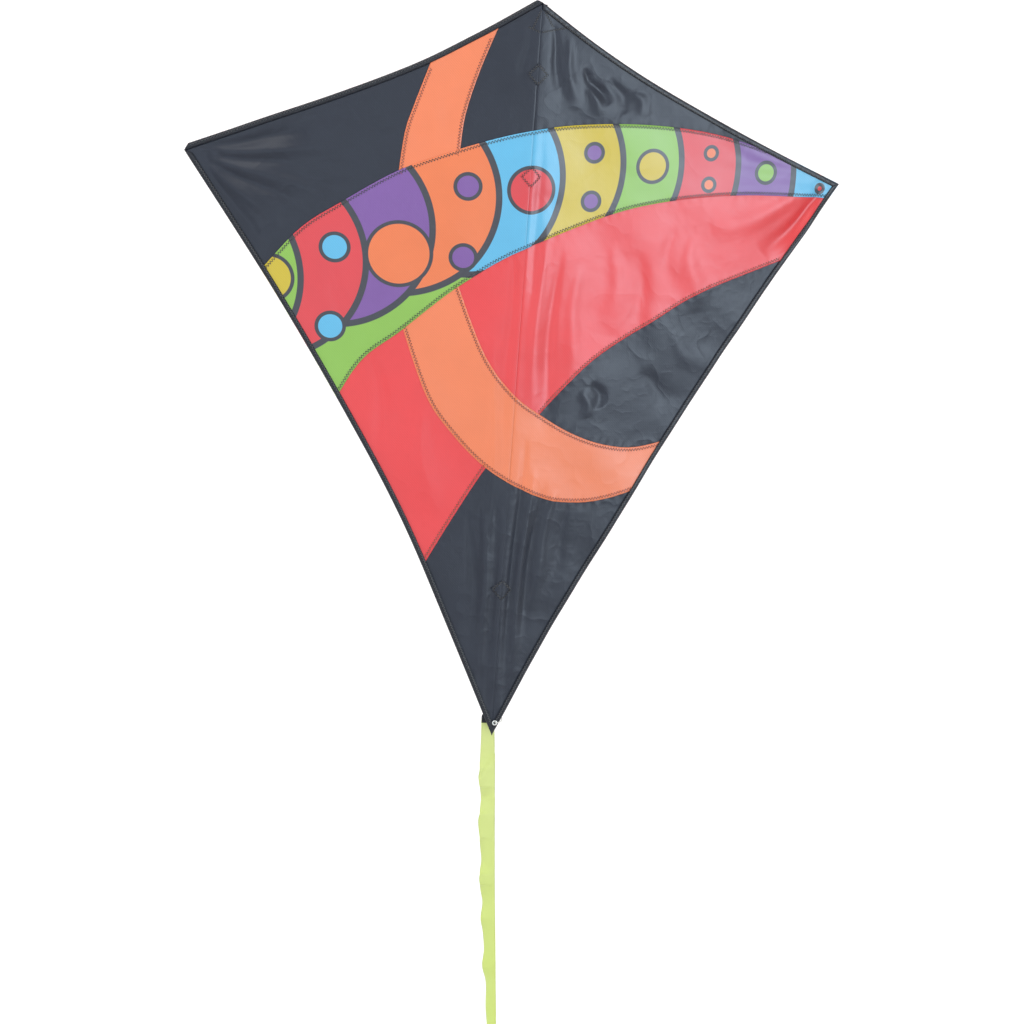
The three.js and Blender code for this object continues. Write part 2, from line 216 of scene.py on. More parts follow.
inks = dict(
    dark=tint(60, 63, 73), red=tint(220, 68, 76), orange=tint(236, 126, 76), green=tint(140, 192, 82),
    yellow=tint(206, 186, 52), blue=tint(96, 186, 230), purple=tint(126, 88, 164),
)
flatOrigin = (0.5, 0.8)  # what the flat map adds to x and z, so that every value in it is positive


# The print is a plain one: big scales lie over each other from right to left, and each carries either
# one ring or two dots. Along the band, x gives the height of its middle and half its width. Millimetres.
printPlan = dict(
    scales=["green", "red", "purple", "orange", "blue", "yellow", "green", "red", "purple", "blue"],
    marks=["yellow", "blue", "orange", "purple", "red", "purple", "yellow", "orange", "green", "red"],
    first=-396, pitch=79, radius=126, outline=8,
    alongX=(-330, -240, -150, 0, 150, 300, 430), middleZ=(-150, -160, -105, -17, 18, 15, 0),
    halfWidth=(70, 100, 105, 73, 51, 33, 16), ring=0.36, dot=0.15, dotAway=0.5, markOutline=4.6,
)


def printDiscs():
    # every disc in the order that it is painted: ink, centre x and z, radius
    plan, discs, spots = printPlan, [], []
    for k in reversed(range(len(plan["scales"]))):
        x = plan["first"] + plan["pitch"] * k
        edge = x + plan["radius"]
        z = float(np.interp(edge, plan["alongX"], plan["middleZ"]))
        inner = plan["radius"] - plan["outline"]
        discs += [("dark", x, z, plan["radius"]), (plan["scales"][k], x, z, inner)]
        markX = edge - plan["pitch"] / 2 - plan["outline"] / 2
        markZ = float(np.interp(markX, plan["alongX"], plan["middleZ"]))
        half = float(np.interp(markX, plan["alongX"], plan["halfWidth"]))
        if k % 2:
            places = [(markZ + side * plan["dotAway"] * half, plan["dot"] * half) for side in (1, -1)]
        else:
            places = [(markZ, plan["ring"] * half)]
        for place, radius in places:
            outer = radius + plan["markOutline"]
            spots += [("dark", markX, place, outer), (plan["marks"][k], markX, place, radius)]
    return discs + spots


def printedCloth(name):
    finish = Finish(name, Sheen_Weight=clothLook["sheen"], Sheen_Roughness=0.4)
    flatMap = finish.flat()
    u, v = finish.split(flatMap)
    soft = 0.5 * mm
    place = finish.node("ShaderNodeCombineXYZ", None, {0: u - flatOrigin[0], 1: v - flatOrigin[1]})

    def disc(cx, cz, radius):
        # 1 inside the circle, falling to 0 over the width soft
        centre = (cx * mm, cz * mm, 0.0)
        far = finish.node("ShaderNodeVectorMath", dict(operation="DISTANCE"), {0: place, 1: centre},
                          output="Value")
        return ((radius * mm - far) / soft + 0.5).clamped()

    colour = inks["green"]
    for ink, cx, cz, radius in printDiscs():
        colour = finish.mix(disc(cx, cz, radius), colour, inks[ink])
    return finishCloth(finish, flatMap, colour, 0.8)


charcoalCloth = plainCloth("charcoal_cloth", tint(42, 48, 61), 1.7, 0.3)
redCloth = plainCloth("red_cloth", tint(232, 66, 70), 0.8)
orangeCloth = plainCloth("orange_cloth", tint(240, 132, 88), 0.8)
bandCloth = printedCloth("printed_cloth")
tapeCloth = plainCloth("hem_tape", tint(28, 32, 41), 1.2, 0.36)


plainLook = dict(speck=0.5, dark=0.7, roughVary=0.16, bumpDepth=0.0004)
threadLook = dict(grain=900.0, speck=0.6, dark=0.5, bump=0.4, bumpDepth=0.0003)


def darker(colour, share):
    return tuple(c * share for c in colour[:3]) + (1.0,)


def plainFinish(name, colour, roughness, metallic=0.0, grain=220.0, bump=0.15, **uniform):
    look = plainLook
    finish = Finish(name, Metallic=metallic, **uniform)
    speck = finish.noise(finish.own(), grain, 3.0)
    base = finish.mix((speck * look["speck"]).clamped(), colour, darker(colour, look["dark"]))
    rough = speck * look["roughVary"] + (roughness - look["roughVary"] / 2)
    finish.feed(Base_Color=base, Roughness=rough, Normal=finish.bump(speck, bump, look["bumpDepth"]))
    return finish.material


def threadFinish(name, colour):
    look = threadLook
    finish = Finish(name, Roughness=0.7, Sheen_Weight=0.2)
    speck = finish.noise(finish.flat(), look["grain"], 2.0)
    base = finish.mix((speck * look["speck"]).clamped(), colour, darker(colour, look["dark"]))
    finish.feed(Base_Color=base, Normal=finish.bump(speck, look["bump"], look["bumpDepth"]))
    return finish.material


fibreglass = plainFinish("fibreglass", tint(30, 31, 34), 0.28, grain=500.0, bump=0.06, Coat_Weight=0.4)
vinyl = plainFinish("vinyl", tint(28, 29, 31), 0.48, grain=900.0, bump=0.25)
brass = plainFinish("brass", tint(196, 150, 84), 0.3, metallic=1.0, grain=300.0, bump=0.06)
elastic = plainFinish("elastic", tint(190, 140, 92), 0.62, grain=600.0, bump=0.3)
blackThread = threadFinish("black_thread", tint(30, 32, 36))
rustThread = threadFinish("rust_thread", tint(168, 74, 44))
greyThread = threadFinish("grey_thread", tint(58, 62, 70))
whiteBraid = threadFinish("white_braid", tint(238, 238, 232))
nickel = plainFinish("nickel", tint(214, 214, 210), 0.3, metallic=1.0, grain=300.0, bump=0.05)


ribbonLook = dict(ribPitch=1.3 * mm, clouds=24.0, paintedLightReach=0.42, rib=0.06, roughness=0.42, roughVary=0.2,
                  bump=0.3, bumpDepth=0.0006)


def ribbonFinish():
    # thin streamer cloth: fine cross ribs, and lighter and darker clouds along its length; its upper part is
    # painted paler, painted light that fades out down the ribbon
    look = ribbonLook
    finish = Finish("lime_ribbon", Sheen_Weight=0.2)
    flatMap = finish.flat()
    u, v = finish.split(flatMap)
    ribs = (u * (2 * pi / look["ribPitch"])).sine()
    cloudy = finish.noise(flatMap, look["clouds"], 3.0)
    # painted light: a pale, lit lime at the top, blending to the plain lime further down
    lower = (u / look["paintedLightReach"]).clamped()
    base = finish.mix(lower, tint(228, 240, 160), tint(212, 232, 124))
    base = finish.mix((cloudy * 0.5).clamped(), base, tint(208, 226, 118))
    base = finish.mix((ribs * look["rib"] + look["rib"]).clamped(), base, tint(176, 206, 84))
    finish.feed(Base_Color=base, Roughness=cloudy * look["roughVary"] + look["roughness"],
                Normal=finish.bump(ribs * 0.1 + cloudy, look["bump"], look["bumpDepth"]))
    return finish.material


limeRibbon = ribbonFinish()
print("materials made")


# ---- meshes from grids
joinWithin, sliver = 2e-6, 1e-7
clothThickness, backThickness = 0.15 * mm, 0.2 * mm


def newPiece(name, points, faces, maps, material, closed, facing=-1):
    mesh = bpy.data.meshes.new(name)
    mesh.from_pydata(points.reshape(-1, 3).tolist(), [], faces)
    layer = mesh.uv_layers.new(name="flat")
    layer.data.foreach_set("uv", maps.astype(np.float32).ravel())
    tidyMesh(mesh, closed, facing)
    mesh.materials.append(material)
    mesh.shade_smooth()
    piece = bpy.data.objects.new(name, mesh)
    bpy.context.collection.objects.link(piece)
    return piece


def gridQuads(rows, columns, wrapU=False, wrapV=False):
    i = np.arange(rows if wrapU else rows - 1)[:, None]
    j = np.arange(columns if wrapV else columns - 1)[None, :]
    corners = ((0, 0), (1, 0), (1, 1), (0, 1))
    quads = np.stack([(i + a) % rows * columns + (j + b) % columns for a, b in corners], -1).reshape(-1, 4)
    places = [(i + a, j + b) for a, b in corners]
    return quads, places


def gridMesh(name, points, body, material, wrapU=False, wrapV=False, flat=None, caps=False,
             closed=False, facing=-1):
    # points is an array (rows, columns, 3); wrapU and wrapV join the last row or column to the first.
    # flat gives the map's values on the grid, (rows, columns, 2); else it is length along and round.
    rows, columns = points.shape[:2]
    quads, places = gridQuads(rows, columns, wrapU, wrapV)
    if flat is None:
        along = np.linalg.norm(np.diff(points, axis=0, append=points[:1]), axis=2).mean(1)
        around = np.linalg.norm(np.diff(points, axis=1, append=points[:, :1]), axis=2).mean(0)
        u, v = np.r_[0, np.cumsum(along)], np.r_[0, np.cumsum(around)]
        maps = np.stack([np.stack(np.broadcast_arrays(u[i], v[j]), -1) for i, j in places], 2).reshape(-1, 2)
    else:
        maps = flat.reshape(-1, 2)[quads.ravel()]
    faces = quads.tolist()
    if caps:
        faces += [list(range(columns))[::-1], list(range((rows - 1) * columns, rows * columns))]
        maps = np.r_[maps, np.zeros((2 * columns, 2))]
    piece = newPiece(name, points, faces, maps, material, closed, facing)
    if body:
        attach(piece, body)
    return piece


def tidyMesh(mesh, closed, facing=-1):
    # joins points that coincide, and turns closed shells outwards and open sheets towards facing Y
    work = bmesh.new()
    work.from_mesh(mesh)
    bmesh.ops.remove_doubles(work, verts=work.verts, dist=joinWithin)
    bmesh.ops.dissolve_degenerate(work, edges=work.edges, dist=sliver)
    bmesh.ops.recalc_face_normals(work, faces=work.faces)
    if not closed and facing * sum(face.normal.y * face.calc_area() for face in work.faces) < 0:
        bmesh.ops.reverse_faces(work, faces=work.faces)
    work.to_mesh(mesh)
    work.free()


def thicken(piece, thickness, offset=-1.0):
    solid = piece.modifiers.new("thickness", "SOLIDIFY")
    solid.thickness, solid.offset = thickness, offset


def blendWing(piece):
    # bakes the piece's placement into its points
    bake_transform(piece)


wings = dict(left=dict(sign=-1, body="left_wing"), right=dict(sign=1, body="right_wing"))
clothBend = 16 * mm


# ---- the sail's outline and seams, drawn in the front view as x and z in millimetres
def spline(*pairs, count=1600):
    # Catmull-Rom: between p1 and p2 the point is half of
    # 2 p1 + (p2 - p0) t + (2 p0 - 5 p1 + 4 p2 - p3) t^2 + (3 p1 - p0 - 3 p2 + p3) t^3
    knots = np.array(pairs, float) * mm
    place = np.linspace(0, len(knots) - 1, count)
    k = np.minimum(place.astype(int), len(knots) - 2)
    t = (place - k)[:, None]
    p0, p1, p2, p3 = (knots[np.clip(k + step, 0, len(knots) - 1)] for step in (-1, 0, 1, 2))
    return 0.5 * (2 * p1 + (p2 - p0) * t + (2 * p0 - 5 * p1 + 4 * p2 - p3) * t**2
                  + (3 * p1 - p0 - 3 * p2 + p3) * t**3)


noseZ, tailZ = 215, -725
lines = dict(
    upperLeft=spline((0, noseZ), (-73, 167), (-147, 124), (-240, 80), (-330, 41), (-425, 0)),
    upperRight=spline((0, noseZ), (72, 168), (150, 124), (241, 80), (330, 40), (425, 0)),
    lowerLeft=spline((0, tailZ), (-64, -588), (-131, -450), (-205, -324), (-306, -168), (-425, 0)),
    lowerRight=spline((0, tailZ), (70, -583), (145, -449), (224, -312), (318, -160), (425, 0)),
    spine=spline((0, tailZ - 20), (0, noseZ + 20), count=3000),
    bandTop=spline((-345, -170), (-282, -90), (-228, -48), (-162, -4), (-88, 29), (-3, 57), (80, 68),
                   (165, 69), (251, 59), (350, 32)),
    bandFoot=spline((-240, -335), (-196, -251), (-146, -205), (-81, -145), (-16, -99), (62, -63),
                    (152, -33), (276, -17), (430, -19)),
    swooshFoot=spline((34, -301), (97, -234), (178, -181), (233, -147), (295, -121), (385, -88)),
    stripeLeft=spline((-162, -8), (-157, 46), (-147, 83), (-129, 140)),
    stripeRight=spline((-89, 20), (-85, 70), (-71, 125), (-48, 192)),
    hookOuter=spline((-146, -200), (-113, -282), (-82, -326), (-30, -374), (40, -409), (89, -417),
                     (134, -412), (190, -394)),
    hookInner=spline((-81, -141), (-43, -226), (-5, -274), (34, -302), (78, -326), (123, -341),
                     (169, -345), (225, -332)),
    redFoot=spline((-30, -372), (-64, -434), (-112, -528)),
)


def lengths(points):
    # the length of the way from its start to each of its points
    return np.r_[0, np.cumsum(np.linalg.norm(np.diff(points, axis=0), axis=1))]


def runLength(points):
    return lengths(points)[-1]


def tangents(path):
    along = np.gradient(path, axis=0)
    return along / np.linalg.norm(along, axis=1)[:, None]


def leftOf(along):
    return np.stack([-along[:, 1], along[:, 0]], 1)


def evenly(points, count):
    length = lengths(points)
    wanted = np.linspace(0, length[-1], count)
    return np.stack([np.interp(wanted, length, points[:, k]) for k in range(points.shape[1])], 1)


def eased(t):
    return t * t * (3 - 2 * t)


def flatPlace(x, z):
    return np.stack([x, z], -1) + flatOrigin


def shifted(line, amount):
    # moved sideways by amount along its own normal, which is the tangent turned a quarter turn left
    return line + amount * leftOf(tangents(line))


def meeting(a, b):
    # the places, as sample numbers, where two lines come closest
    step = 4
    coarse = np.linalg.norm(a[::step, None] - b[None, ::step], axis=2)
    p, q = np.unravel_index(coarse.argmin(), coarse.shape)
    nearA = np.arange(max(step * p - 8, 0), min(step * p + 9, len(a)))
    nearB = np.arange(max(step * q - 8, 0), min(step * q + 9, len(b)))
    fine = np.linalg.norm(a[nearA][:, None] - b[nearB][None], axis=2)
    p, q = np.unravel_index(fine.argmin(), fine.shape)
    return nearA[p], nearB[q]


def stretch(line, start, end, count):
    # the part of a line between two samples, spaced evenly by length
    return evenly(line[start:end + 1] if start <= end else line[end:start + 1][::-1], count)


# ---- the sail's surface
sailShape = dict(rise=0.2, bow=0.1, ridge=4 * mm, billow=3.2 * mm, waveTotal=2.5, billowFrom=0.05,
                 creasing=1.35, ease=7 * mm)

# Creases in the cloth: from x, z to x, z, then depth towards the back (or front, if negative) and
# half-width. Millimetres.
creases = np.array([
    # out of the left tip
    (-412, 4, -262, 38, 2.4, 5), (-410, 2, -230, 16, -2.0, 6), (-410, -2, -268, -8, 2.2, 5),
    (-408, -4, -256, -38, -2.2, 6), (-405, -6, -272, -62, 2.6, 6), (-404, -8, -300, -88, -2.2, 6),
    (-400, -10, -318, -120, 1.8, 6), (-400, 6, -170, 84, 1.6, 11), (-340, -20, -210, -30, 1.2, 9),
    # out of the right tip
    (408, -8, 325, -92, 4.2, 8), (404, -6, 250, -66, -2.2, 12), (410, -12, 345, -118, -2.8, 7),
    (398, -2, 230, 22, 1.2, 11), (400, 4, 250, 62, 1.6, 9),
    # down the spine
    (14, 190, 34, 92, 2.2, 6), (34, 176, 52, 84, -1.8, 7), (9, 60, 14, -190, 1.4, 6),
    (-12, 190, -18, 110, 1.5, 5),
    (24, -60, 20, -300, -1.9, 7), (44, -90, 38, -330, 2.2, 8), (74, -110, 66, -300, -1.6, 11),
    (-14, -90, -12, -330, 1.4, 7), (-30, -200, -18, -560, -1.6, 8), (16, -330, 10, -690, 2.8, 6),
    (30, -370, 18, -650, -2.4, 6), (46, -390, 26, -600, 2.2, 6), (62, -400, 38, -560, -1.7, 7),
    (-14, -400, -8, -700, 2.4, 6), (-30, -410, -18, -650, -1.8, 6), (-46, -430, -30, -620, 1.6, 7),
    (84, -420, 60, -540, 1.4, 9),
    # a swirl beside the nose
    (58, 136, 96, 92, 3.0, 6), (70, 128, 84, 78, -2.2, 7), (96, 128, 122, 84, 2.0, 8),
    (128, 112, 150, 80, -1.6, 8),
    # across the panels
    (104, -258, 118, -292, 2.6, 7), (92, -268, 100, -306, -1.8, 7), (150, -90, 168, -230, 1.6, 13),
    (222, -70, 236, -170, -1.6, 13), (190, -60, 196, -150, 1.2, 12), (120, -80, 126, -200, -1.4, 12),
    (-180, -230, -150, -400, 1.6, 12), (-120, -300, -96, -440, -1.4, 10), (-240, -110, -206, -250, 1.4, 12),
    (-120, 96, -60, -20, 0.9, 16), (-40, -20, 60, -40, 0.9, 12), (160, -250, 230, -290, 1.6, 12),
    (200, -200, 270, -250, -1.4, 12),
])


creaseShape = dict(wander=0.35, wanderRate=7, wanderPhase=40, ends=0.8, narrow=0.55, widening=0.9)


def creaseDepth(x, z):
    # each crease is depth times a bell across it times a half sine along it, eased at its ends; it
    # wanders a little to either side and widens on its way
    shape = creaseShape
    x1, z1, x2, z2, depth, width = (creases[:, k] * mm for k in range(6))
    dx, dz = x2 - x1, z2 - z1
    length = np.hypot(dx, dz)
    ax, az = x[..., None] - x1, z[..., None] - z1
    t = (ax * dx + az * dz) / length**2
    away = (ax * dz - az * dx) / length
    away = away + shape["wander"] * width * np.sin(shape["wanderRate"] * t + shape["wanderPhase"] * x1)
    along = np.sin(pi * np.clip(t, 0, 1)) ** shape["ends"]
    spread = width * (shape["narrow"] + shape["widening"] * np.clip(t, 0, 1))
    return sailShape["creasing"] * (depth * along * np.exp(-(away / spread) ** 2)).sum(-1)


# The spar's cap presses rings into the cloth at the tips: centre, ring radius, its width and depth.
tipMarks = np.array([(-389, -5, 9, 2.2, 1.1), (-389, -5, 3.5, 2.0, -0.7), (396, -4, 6, 2.5, 0.8)])


def tipDepth(x, z):
    far = np.hypot(x[..., None] - tipMarks[:, 0] * mm, z[..., None] - tipMarks[:, 1] * mm)
    ring = (far - tipMarks[:, 2] * mm) / (tipMarks[:, 3] * mm)
    return (tipMarks[:, 4] * mm * np.exp(-(ring**2))).sum(-1)


# Slow waves in the cloth: turns along x and z in radians a metre, phase, weight.
billowWaves = [(19, 11, 0.6, 1), (-31, 23, 2.1, 0.7), (52, 17, 4.0, 0.5), (-47, -61, 1.1, 0.35)]


def billowDepth(x, z):
    # the sum of weight times sin(a x + b z + c) over the waves, and none at the ridge
    waves = sum(weight * np.sin(a * x + b * z + c) for a, b, c, weight in billowWaves)
    rise = np.tanh(np.abs(x) / sailShape["billowFrom"])
    return sailShape["billow"] * waves / sailShape["waveTotal"] * rise


seamNames = ["bandTop", "bandFoot", "swooshFoot", "stripeLeft", "stripeRight", "hookOuter", "hookInner",
             "redFoot"]
pucker = dict(depth=0.3 * mm, pitch=13 * mm, reach=6 * mm, waver=2, waverRate=37)


def puckerDepth(x, z):
    # along each seam the cloth gathers: a small wave of the length along it, fading away from it
    total = np.zeros_like(x)
    for name in seamNames:
        line = lines[name][::5]
        length = lengths(line)
        far = np.hypot(x[..., None] - line[:, 0], z[..., None] - line[:, 1])
        nearest = far.argmin(-1)
        s, d = length[nearest], far.min(-1)
        wave = np.sin(2 * pi * s / pucker["pitch"] + pucker["waver"] * np.sin(pucker["waverRate"] * s))
        total += pucker["depth"] * wave * np.exp(-(d / pucker["reach"]) ** 2)
    return total


def sailDepth(x, z, fine=True):
    # y = rise |x| + bow x^2, rounded over the spine, plus billow, creases and puckers, which all
    # die out at the ridge so that the two wings meet
    ridge = sailShape["ridge"]
    across = np.sqrt(x**2 + ridge**2) - ridge
    y = sailShape["rise"] * across + sailShape["bow"] * x**2
    ease = np.tanh(np.abs(x) / sailShape["ease"]) ** 2
    loose = creaseDepth(x, z) + billowDepth(x, z) + tipDepth(x, z)
    if fine:
        loose = loose + puckerDepth(x, z)
    return y + ease * loose


# ---- sail panels
layers = dict(black=0.0, red=0.35, orange=0.7, band=1.05)  # how far each sort of cloth lies to the front
lap = 5 * mm  # how far the lower cloth runs on under the upper one
cell = 3.2 * mm

# Each panel: wing, cloth, material, slot, and its four sides in order round it. A side is a line's
# name; a trailing + means that it runs on under its neighbour. A side of several lines is a tuple.
panels = dict(
    left_corner_black=("left", "black", charcoalCloth, "charcoal_cloth",
                       ["upperLeft", "lowerLeft", "bandTop+", "stripeLeft+"]),
    left_orange_stripe=("left", "orange", orangeCloth, "orange_cloth",
                        ["upperLeft", "stripeLeft", "bandTop+", "stripeRight"]),
    left_nose_black=("left", "black", charcoalCloth, "charcoal_cloth",
                     ["upperLeft", "stripeRight+", "bandTop+", "spine"]),
    left_print_band=("left", "band", bandCloth, "printed_cloth",
                     ["bandTop", "lowerLeft", "bandFoot", "spine"]),
    left_red_side=("left", "red", redCloth, "red_cloth",
                   ["bandFoot+", "lowerLeft", "redFoot", "hookOuter+"]),
    left_orange_hook=("left", "orange", orangeCloth, "orange_cloth",
                      ["bandFoot+", "hookOuter", "spine", "hookInner"]),
    left_red_swoosh=("left", "red", redCloth, "red_cloth",
                     ["bandFoot+", "hookInner+", "spine"]),
    left_foot_black=("left", "black", charcoalCloth, "charcoal_cloth",
                     ["hookOuter+", "redFoot+", "lowerLeft", "spine"]),
    right_nose_black=("right", "black", charcoalCloth, "charcoal_cloth",
                      ["spine", "bandTop+", "upperRight"]),
    right_print_band=("right", "band", bandCloth, "printed_cloth",
                      ["spine", "bandFoot", "lowerRight", ("upperRight", "bandTop")]),
    right_red_swoosh=("right", "red", redCloth, "red_cloth",
                      ["spine", ("hookInner+", "swooshFoot"), "lowerRight", "bandFoot+"]),
    right_side_black=("right", "black", charcoalCloth, "charcoal_cloth",
                      ["lowerRight", "swooshFoot+", "hookInner+"]),
    right_orange_hook=("right", "orange", orangeCloth, "orange_cloth",
                       ["spine", "hookOuter", "lowerRight", "hookInner"]),
    right_foot_black=("right", "black", charcoalCloth, "charcoal_cloth",
                      ["spine", "lowerRight", "hookOuter+"]),
)


def panelSides(sides):
    # the outline of a panel as four runs of points that share their corners
    flatSides = [(name, k) for k, side in enumerate(sides)
                 for name in (side if isinstance(side, tuple) else (side,))]
    plain = [lines[name.rstrip("+")] for name, _ in flatSides]
    count = len(plain)
    rough = np.array([plain[k][meeting(plain[k], plain[(k + 1) % count])[0]] for k in range(count)])
    middle = rough.mean(0)
    moved = []
    for (name, _), line in zip(flatSides, plain):
        if name.endswith("+"):
            left, right = shifted(line, lap), shifted(line, -lap)
            nearest = np.linalg.norm(line - middle, axis=1).argmin()
            outer = np.linalg.norm(left[nearest] - middle) > np.linalg.norm(right[nearest] - middle)
            line = left if outer else right
        moved.append(line)
    meets = [meeting(moved[k], moved[(k + 1) % count]) for k in range(count)]
    corners = [(moved[k][meets[k][0]] + moved[(k + 1) % count][meets[k][1]]) / 2 for k in range(count)]
    runs = {}
    for k, (name, side) in enumerate(flatSides):
        part = stretch(moved[k], meets[k - 1][1], meets[k][0], 200)
        part[0], part[-1] = corners[k - 1], corners[k]
        runs.setdefault(side, []).append(part)
    return [np.concatenate(parts) for _, parts in sorted(runs.items())]


def coons(a, b, c, d):
    # a runs along u at v = 0, b along v at u = 1, c back along u, d back along v: the mean of the two
    # ruled surfaces, less the surface through the four corners
    bottom, right, top, left = a, b, c[::-1], d[::-1]
    u = np.linspace(0, 1, len(bottom))[:, None, None]
    v = np.linspace(0, 1, len(right))[None, :, None]
    ruledV = (1 - v) * bottom[:, None] + v * top[:, None]
    ruledU = (1 - u) * left[None] + u * right[None]
    corners = ((1 - u) * (1 - v) * bottom[0] + u * (1 - v) * bottom[-1]
               + (1 - u) * v * top[0] + u * v * top[-1])
    return ruledV + ruledU - corners


def makePanel(name, wing, cloth, material, slot, sides):
    runs = panelSides(sides)
    outline = np.concatenate(runs)
    if len(runs) == 3:  # the fourth side is the corner where the last and the first side meet
        runs.append(np.repeat(runs[0][:1], 2, axis=0))
    nu = max(int(max(runLength(runs[0]), runLength(runs[2])) / cell), 4)
    nv = max(int(max(runLength(runs[1]), runLength(runs[3])) / cell), 4)
    last = evenly(runs[3], nv) if runLength(runs[3]) else np.repeat(runs[3][:1], nv, axis=0)
    flat = coons(evenly(runs[0], nu), evenly(runs[1], nv), evenly(runs[2], nu), last)
    x, z = flat[..., 0], flat[..., 1]
    y = sailDepth(x, z) - layers[cloth] * mm
    bends = np.abs(outline[:, 0]).min() < clothBend
    piece = gridMesh(name + "_cloth", np.stack([x, y, z], -1), None if bends else wings[wing]["body"],
                     material, flat=flatPlace(x, z))
    thicken(piece, clothThickness)
    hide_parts(name)
    if bends:
        blendWing(piece)


for name, facts in panels.items():
    makePanel(name, *facts)
print("sail panels made:", len(panels))


# ---- folded tape along the sail's edges
hem = dict(width=6.6 * mm, front=-1.5, back=0.85, wall=0.22, bulge=0.7, pucker=0.22 * mm, puckerPitch=9 * mm,
           waver=3, waverRate=29, narrowest=0.5 * mm)
edges = dict(
    left_upper_hem=("left", "upperLeft", -1, 56.7, 39), left_lower_hem=("left", "lowerLeft", -1, 25, 39),
    right_upper_hem=("right", "upperRight", -1, 56.9, 39),
    right_lower_hem=("right", "lowerRight", 1, 26, 39),
)


def hemFrame(line, count, sign, startAngle, endAngle):
    # even points along an edge, the direction into the sail, and the tape's width, which narrows to a
    # mitre at both ends: the width at t from an end is at most t times the tangent of the half angle
    path = evenly(line, count)
    inward = sign * leftOf(tangents(path))
    length = lengths(path)
    fromStart = length * np.tan(radians(startAngle))
    ends = np.minimum(fromStart, (length[-1] - length) * np.tan(radians(endAngle)))
    return path, inward, length, np.minimum(hem["width"], ends + hem["narrowest"])


def makeHem(name, wing, lineName, sign, startAngle, endAngle):
    path, inward, length, width = hemFrame(lines[lineName], 320, sign, startAngle, endAngle)
    f, b, w = hem["front"], hem["back"], hem["wall"]
    full, half = hem["bulge"], 0.6 * hem["bulge"]
    outer = [(1, f), (0.75, f - full), (0.4, f - half), (0.12, f - 0.1), (-0.02, f / 2), (0.1, b),
             (0.5, b + full), (1, b)]
    inner = [(1, b - w), (0.5, b + full - w), (0.14, b - w), (0.04, f / 2), (0.16, f + w),
             (0.45, f - half + w), (0.75, f - full + w), (1, f + w)]
    across, depth = np.array(outer + inner).T
    points = path[:, None] + inward[:, None] * (across * width[:, None])[..., None]
    x, z = points[..., 0], points[..., 1]
    waver = hem["waver"] * np.sin(hem["waverRate"] * length)
    gather = np.sin(2 * pi * length / hem["puckerPitch"] + waver)[:, None] * hem["pucker"]
    gather = gather * np.clip(across, 0, 1) * (width / hem["width"])[:, None]
    y = sailDepth(x, z, fine=False) + depth * mm + gather
    flat = np.stack(np.broadcast_arrays(length[:, None], across * hem["width"]), -1)
    piece = gridMesh(name + "_tape", np.stack([x, y, z], -1), None, tapeCloth, wrapV=True,
                     caps=True, flat=flat, closed=True)
    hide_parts(name)
    blendWing(piece)


for name, facts in edges.items():
    makeHem(name, *facts)
print("hems made")


# ---- zigzag stitching
stitch = dict(pitch=3.8 * mm, width=3.5 * mm, thread=0.8 * mm, proud=0.25 * mm, tapeProud=0.12 * mm,
              hemWidth=2.4 * mm, hemPlace=0.74, pocketWidth=2.6 * mm, pocketPitch=3.2 * mm,
              fromEdge=6.5 * mm, fromSpine=0.2 * mm, shortest=12)
diamond = [(1, 0), (0, -1), (-1, 0), (0, 1)]


def zigzag(path, depth, width=None, pitch=None):
    # a thread that steps from side to side of the path: at sample k it stands width / 2 left or right,
    # turn about. Its section is a small diamond, one way along the path and one way through the cloth.
    width, pitch = width or stitch["width"], pitch or stitch["pitch"]
    count = max(int(2 * runLength(path) / pitch), 4)
    middle = evenly(path, count)
    along = tangents(middle)
    side = np.where(np.arange(count) % 2, 0.5, -0.5)[:, None] * width
    bent = middle + leftOf(along) * side
    half = stitch["thread"] / 2
    y = sailDepth(bent[:, 0], bent[:, 1]) + depth
    return np.stack([np.stack([bent[:, 0] + half * a * along[:, 0], y + half * b,
                               bent[:, 1] + half * a * along[:, 1]], -1) for a, b in diamond], 1)


def joinedGrids(name, grids, material):
    # many separate threads of the same section in one mesh: each keeps its own rings and end faces
    faces, base = [], 0
    for grid in grids:
        rows, columns = grid.shape[:2]
        faces += (gridQuads(rows, columns, wrapV=True)[0] + base).tolist()
        faces += [list(range(base + k * columns, base + (k + 1) * columns)) for k in (0, rows - 1)]
        base += rows * columns
    points = np.concatenate([grid.reshape(-1, 3) for grid in grids])
    corners = points[np.concatenate(faces)]
    return newPiece(name, points, faces, flatPlace(corners[:, 0], corners[:, 2]), material,
                    closed=True)


edgeOf = dict(left=("upperLeft", "lowerLeft"), right=("upperRight", "lowerRight"))

# Each row of stitches: line, how far it lies from the seam in millimetres (left of its direction is
# positive), the cloth it lies on, and the thread.
seamRows = [
    ("bandTop", -3, "band", "black"), ("bandFoot", 3, "band", "black"), ("swooshFoot", 3, "red", "rust"),
    ("stripeLeft", -3, "orange", "rust"), ("stripeRight", 3, "orange", "rust"),
    ("hookOuter", 3.5, "orange", "rust"), ("hookInner", -3.5, "orange", "rust"),
    ("redFoot", -3.5, "red", "rust"),
]


def insideSail(line, wing):
    # the part of a line that lies within one wing's outline, clear of its edges
    sign = wings[wing]["sign"]
    upper, lower = (lines[name] for name in edgeOf[wing])
    outline = np.concatenate([upper, lower[::-1]])[::8]
    far = np.linalg.norm(line[:, None] - outline[None], axis=2).min(1)
    x = line[:, 0] * sign
    ceiling = np.interp(x, sign * upper[:, 0], upper[:, 1])
    floor = np.interp(x, sign * lower[:, 0], lower[:, 1])
    inside = (x > stitch["fromSpine"]) & (line[:, 1] < ceiling) & (line[:, 1] > floor)
    return line[inside & (far > stitch["fromEdge"])]


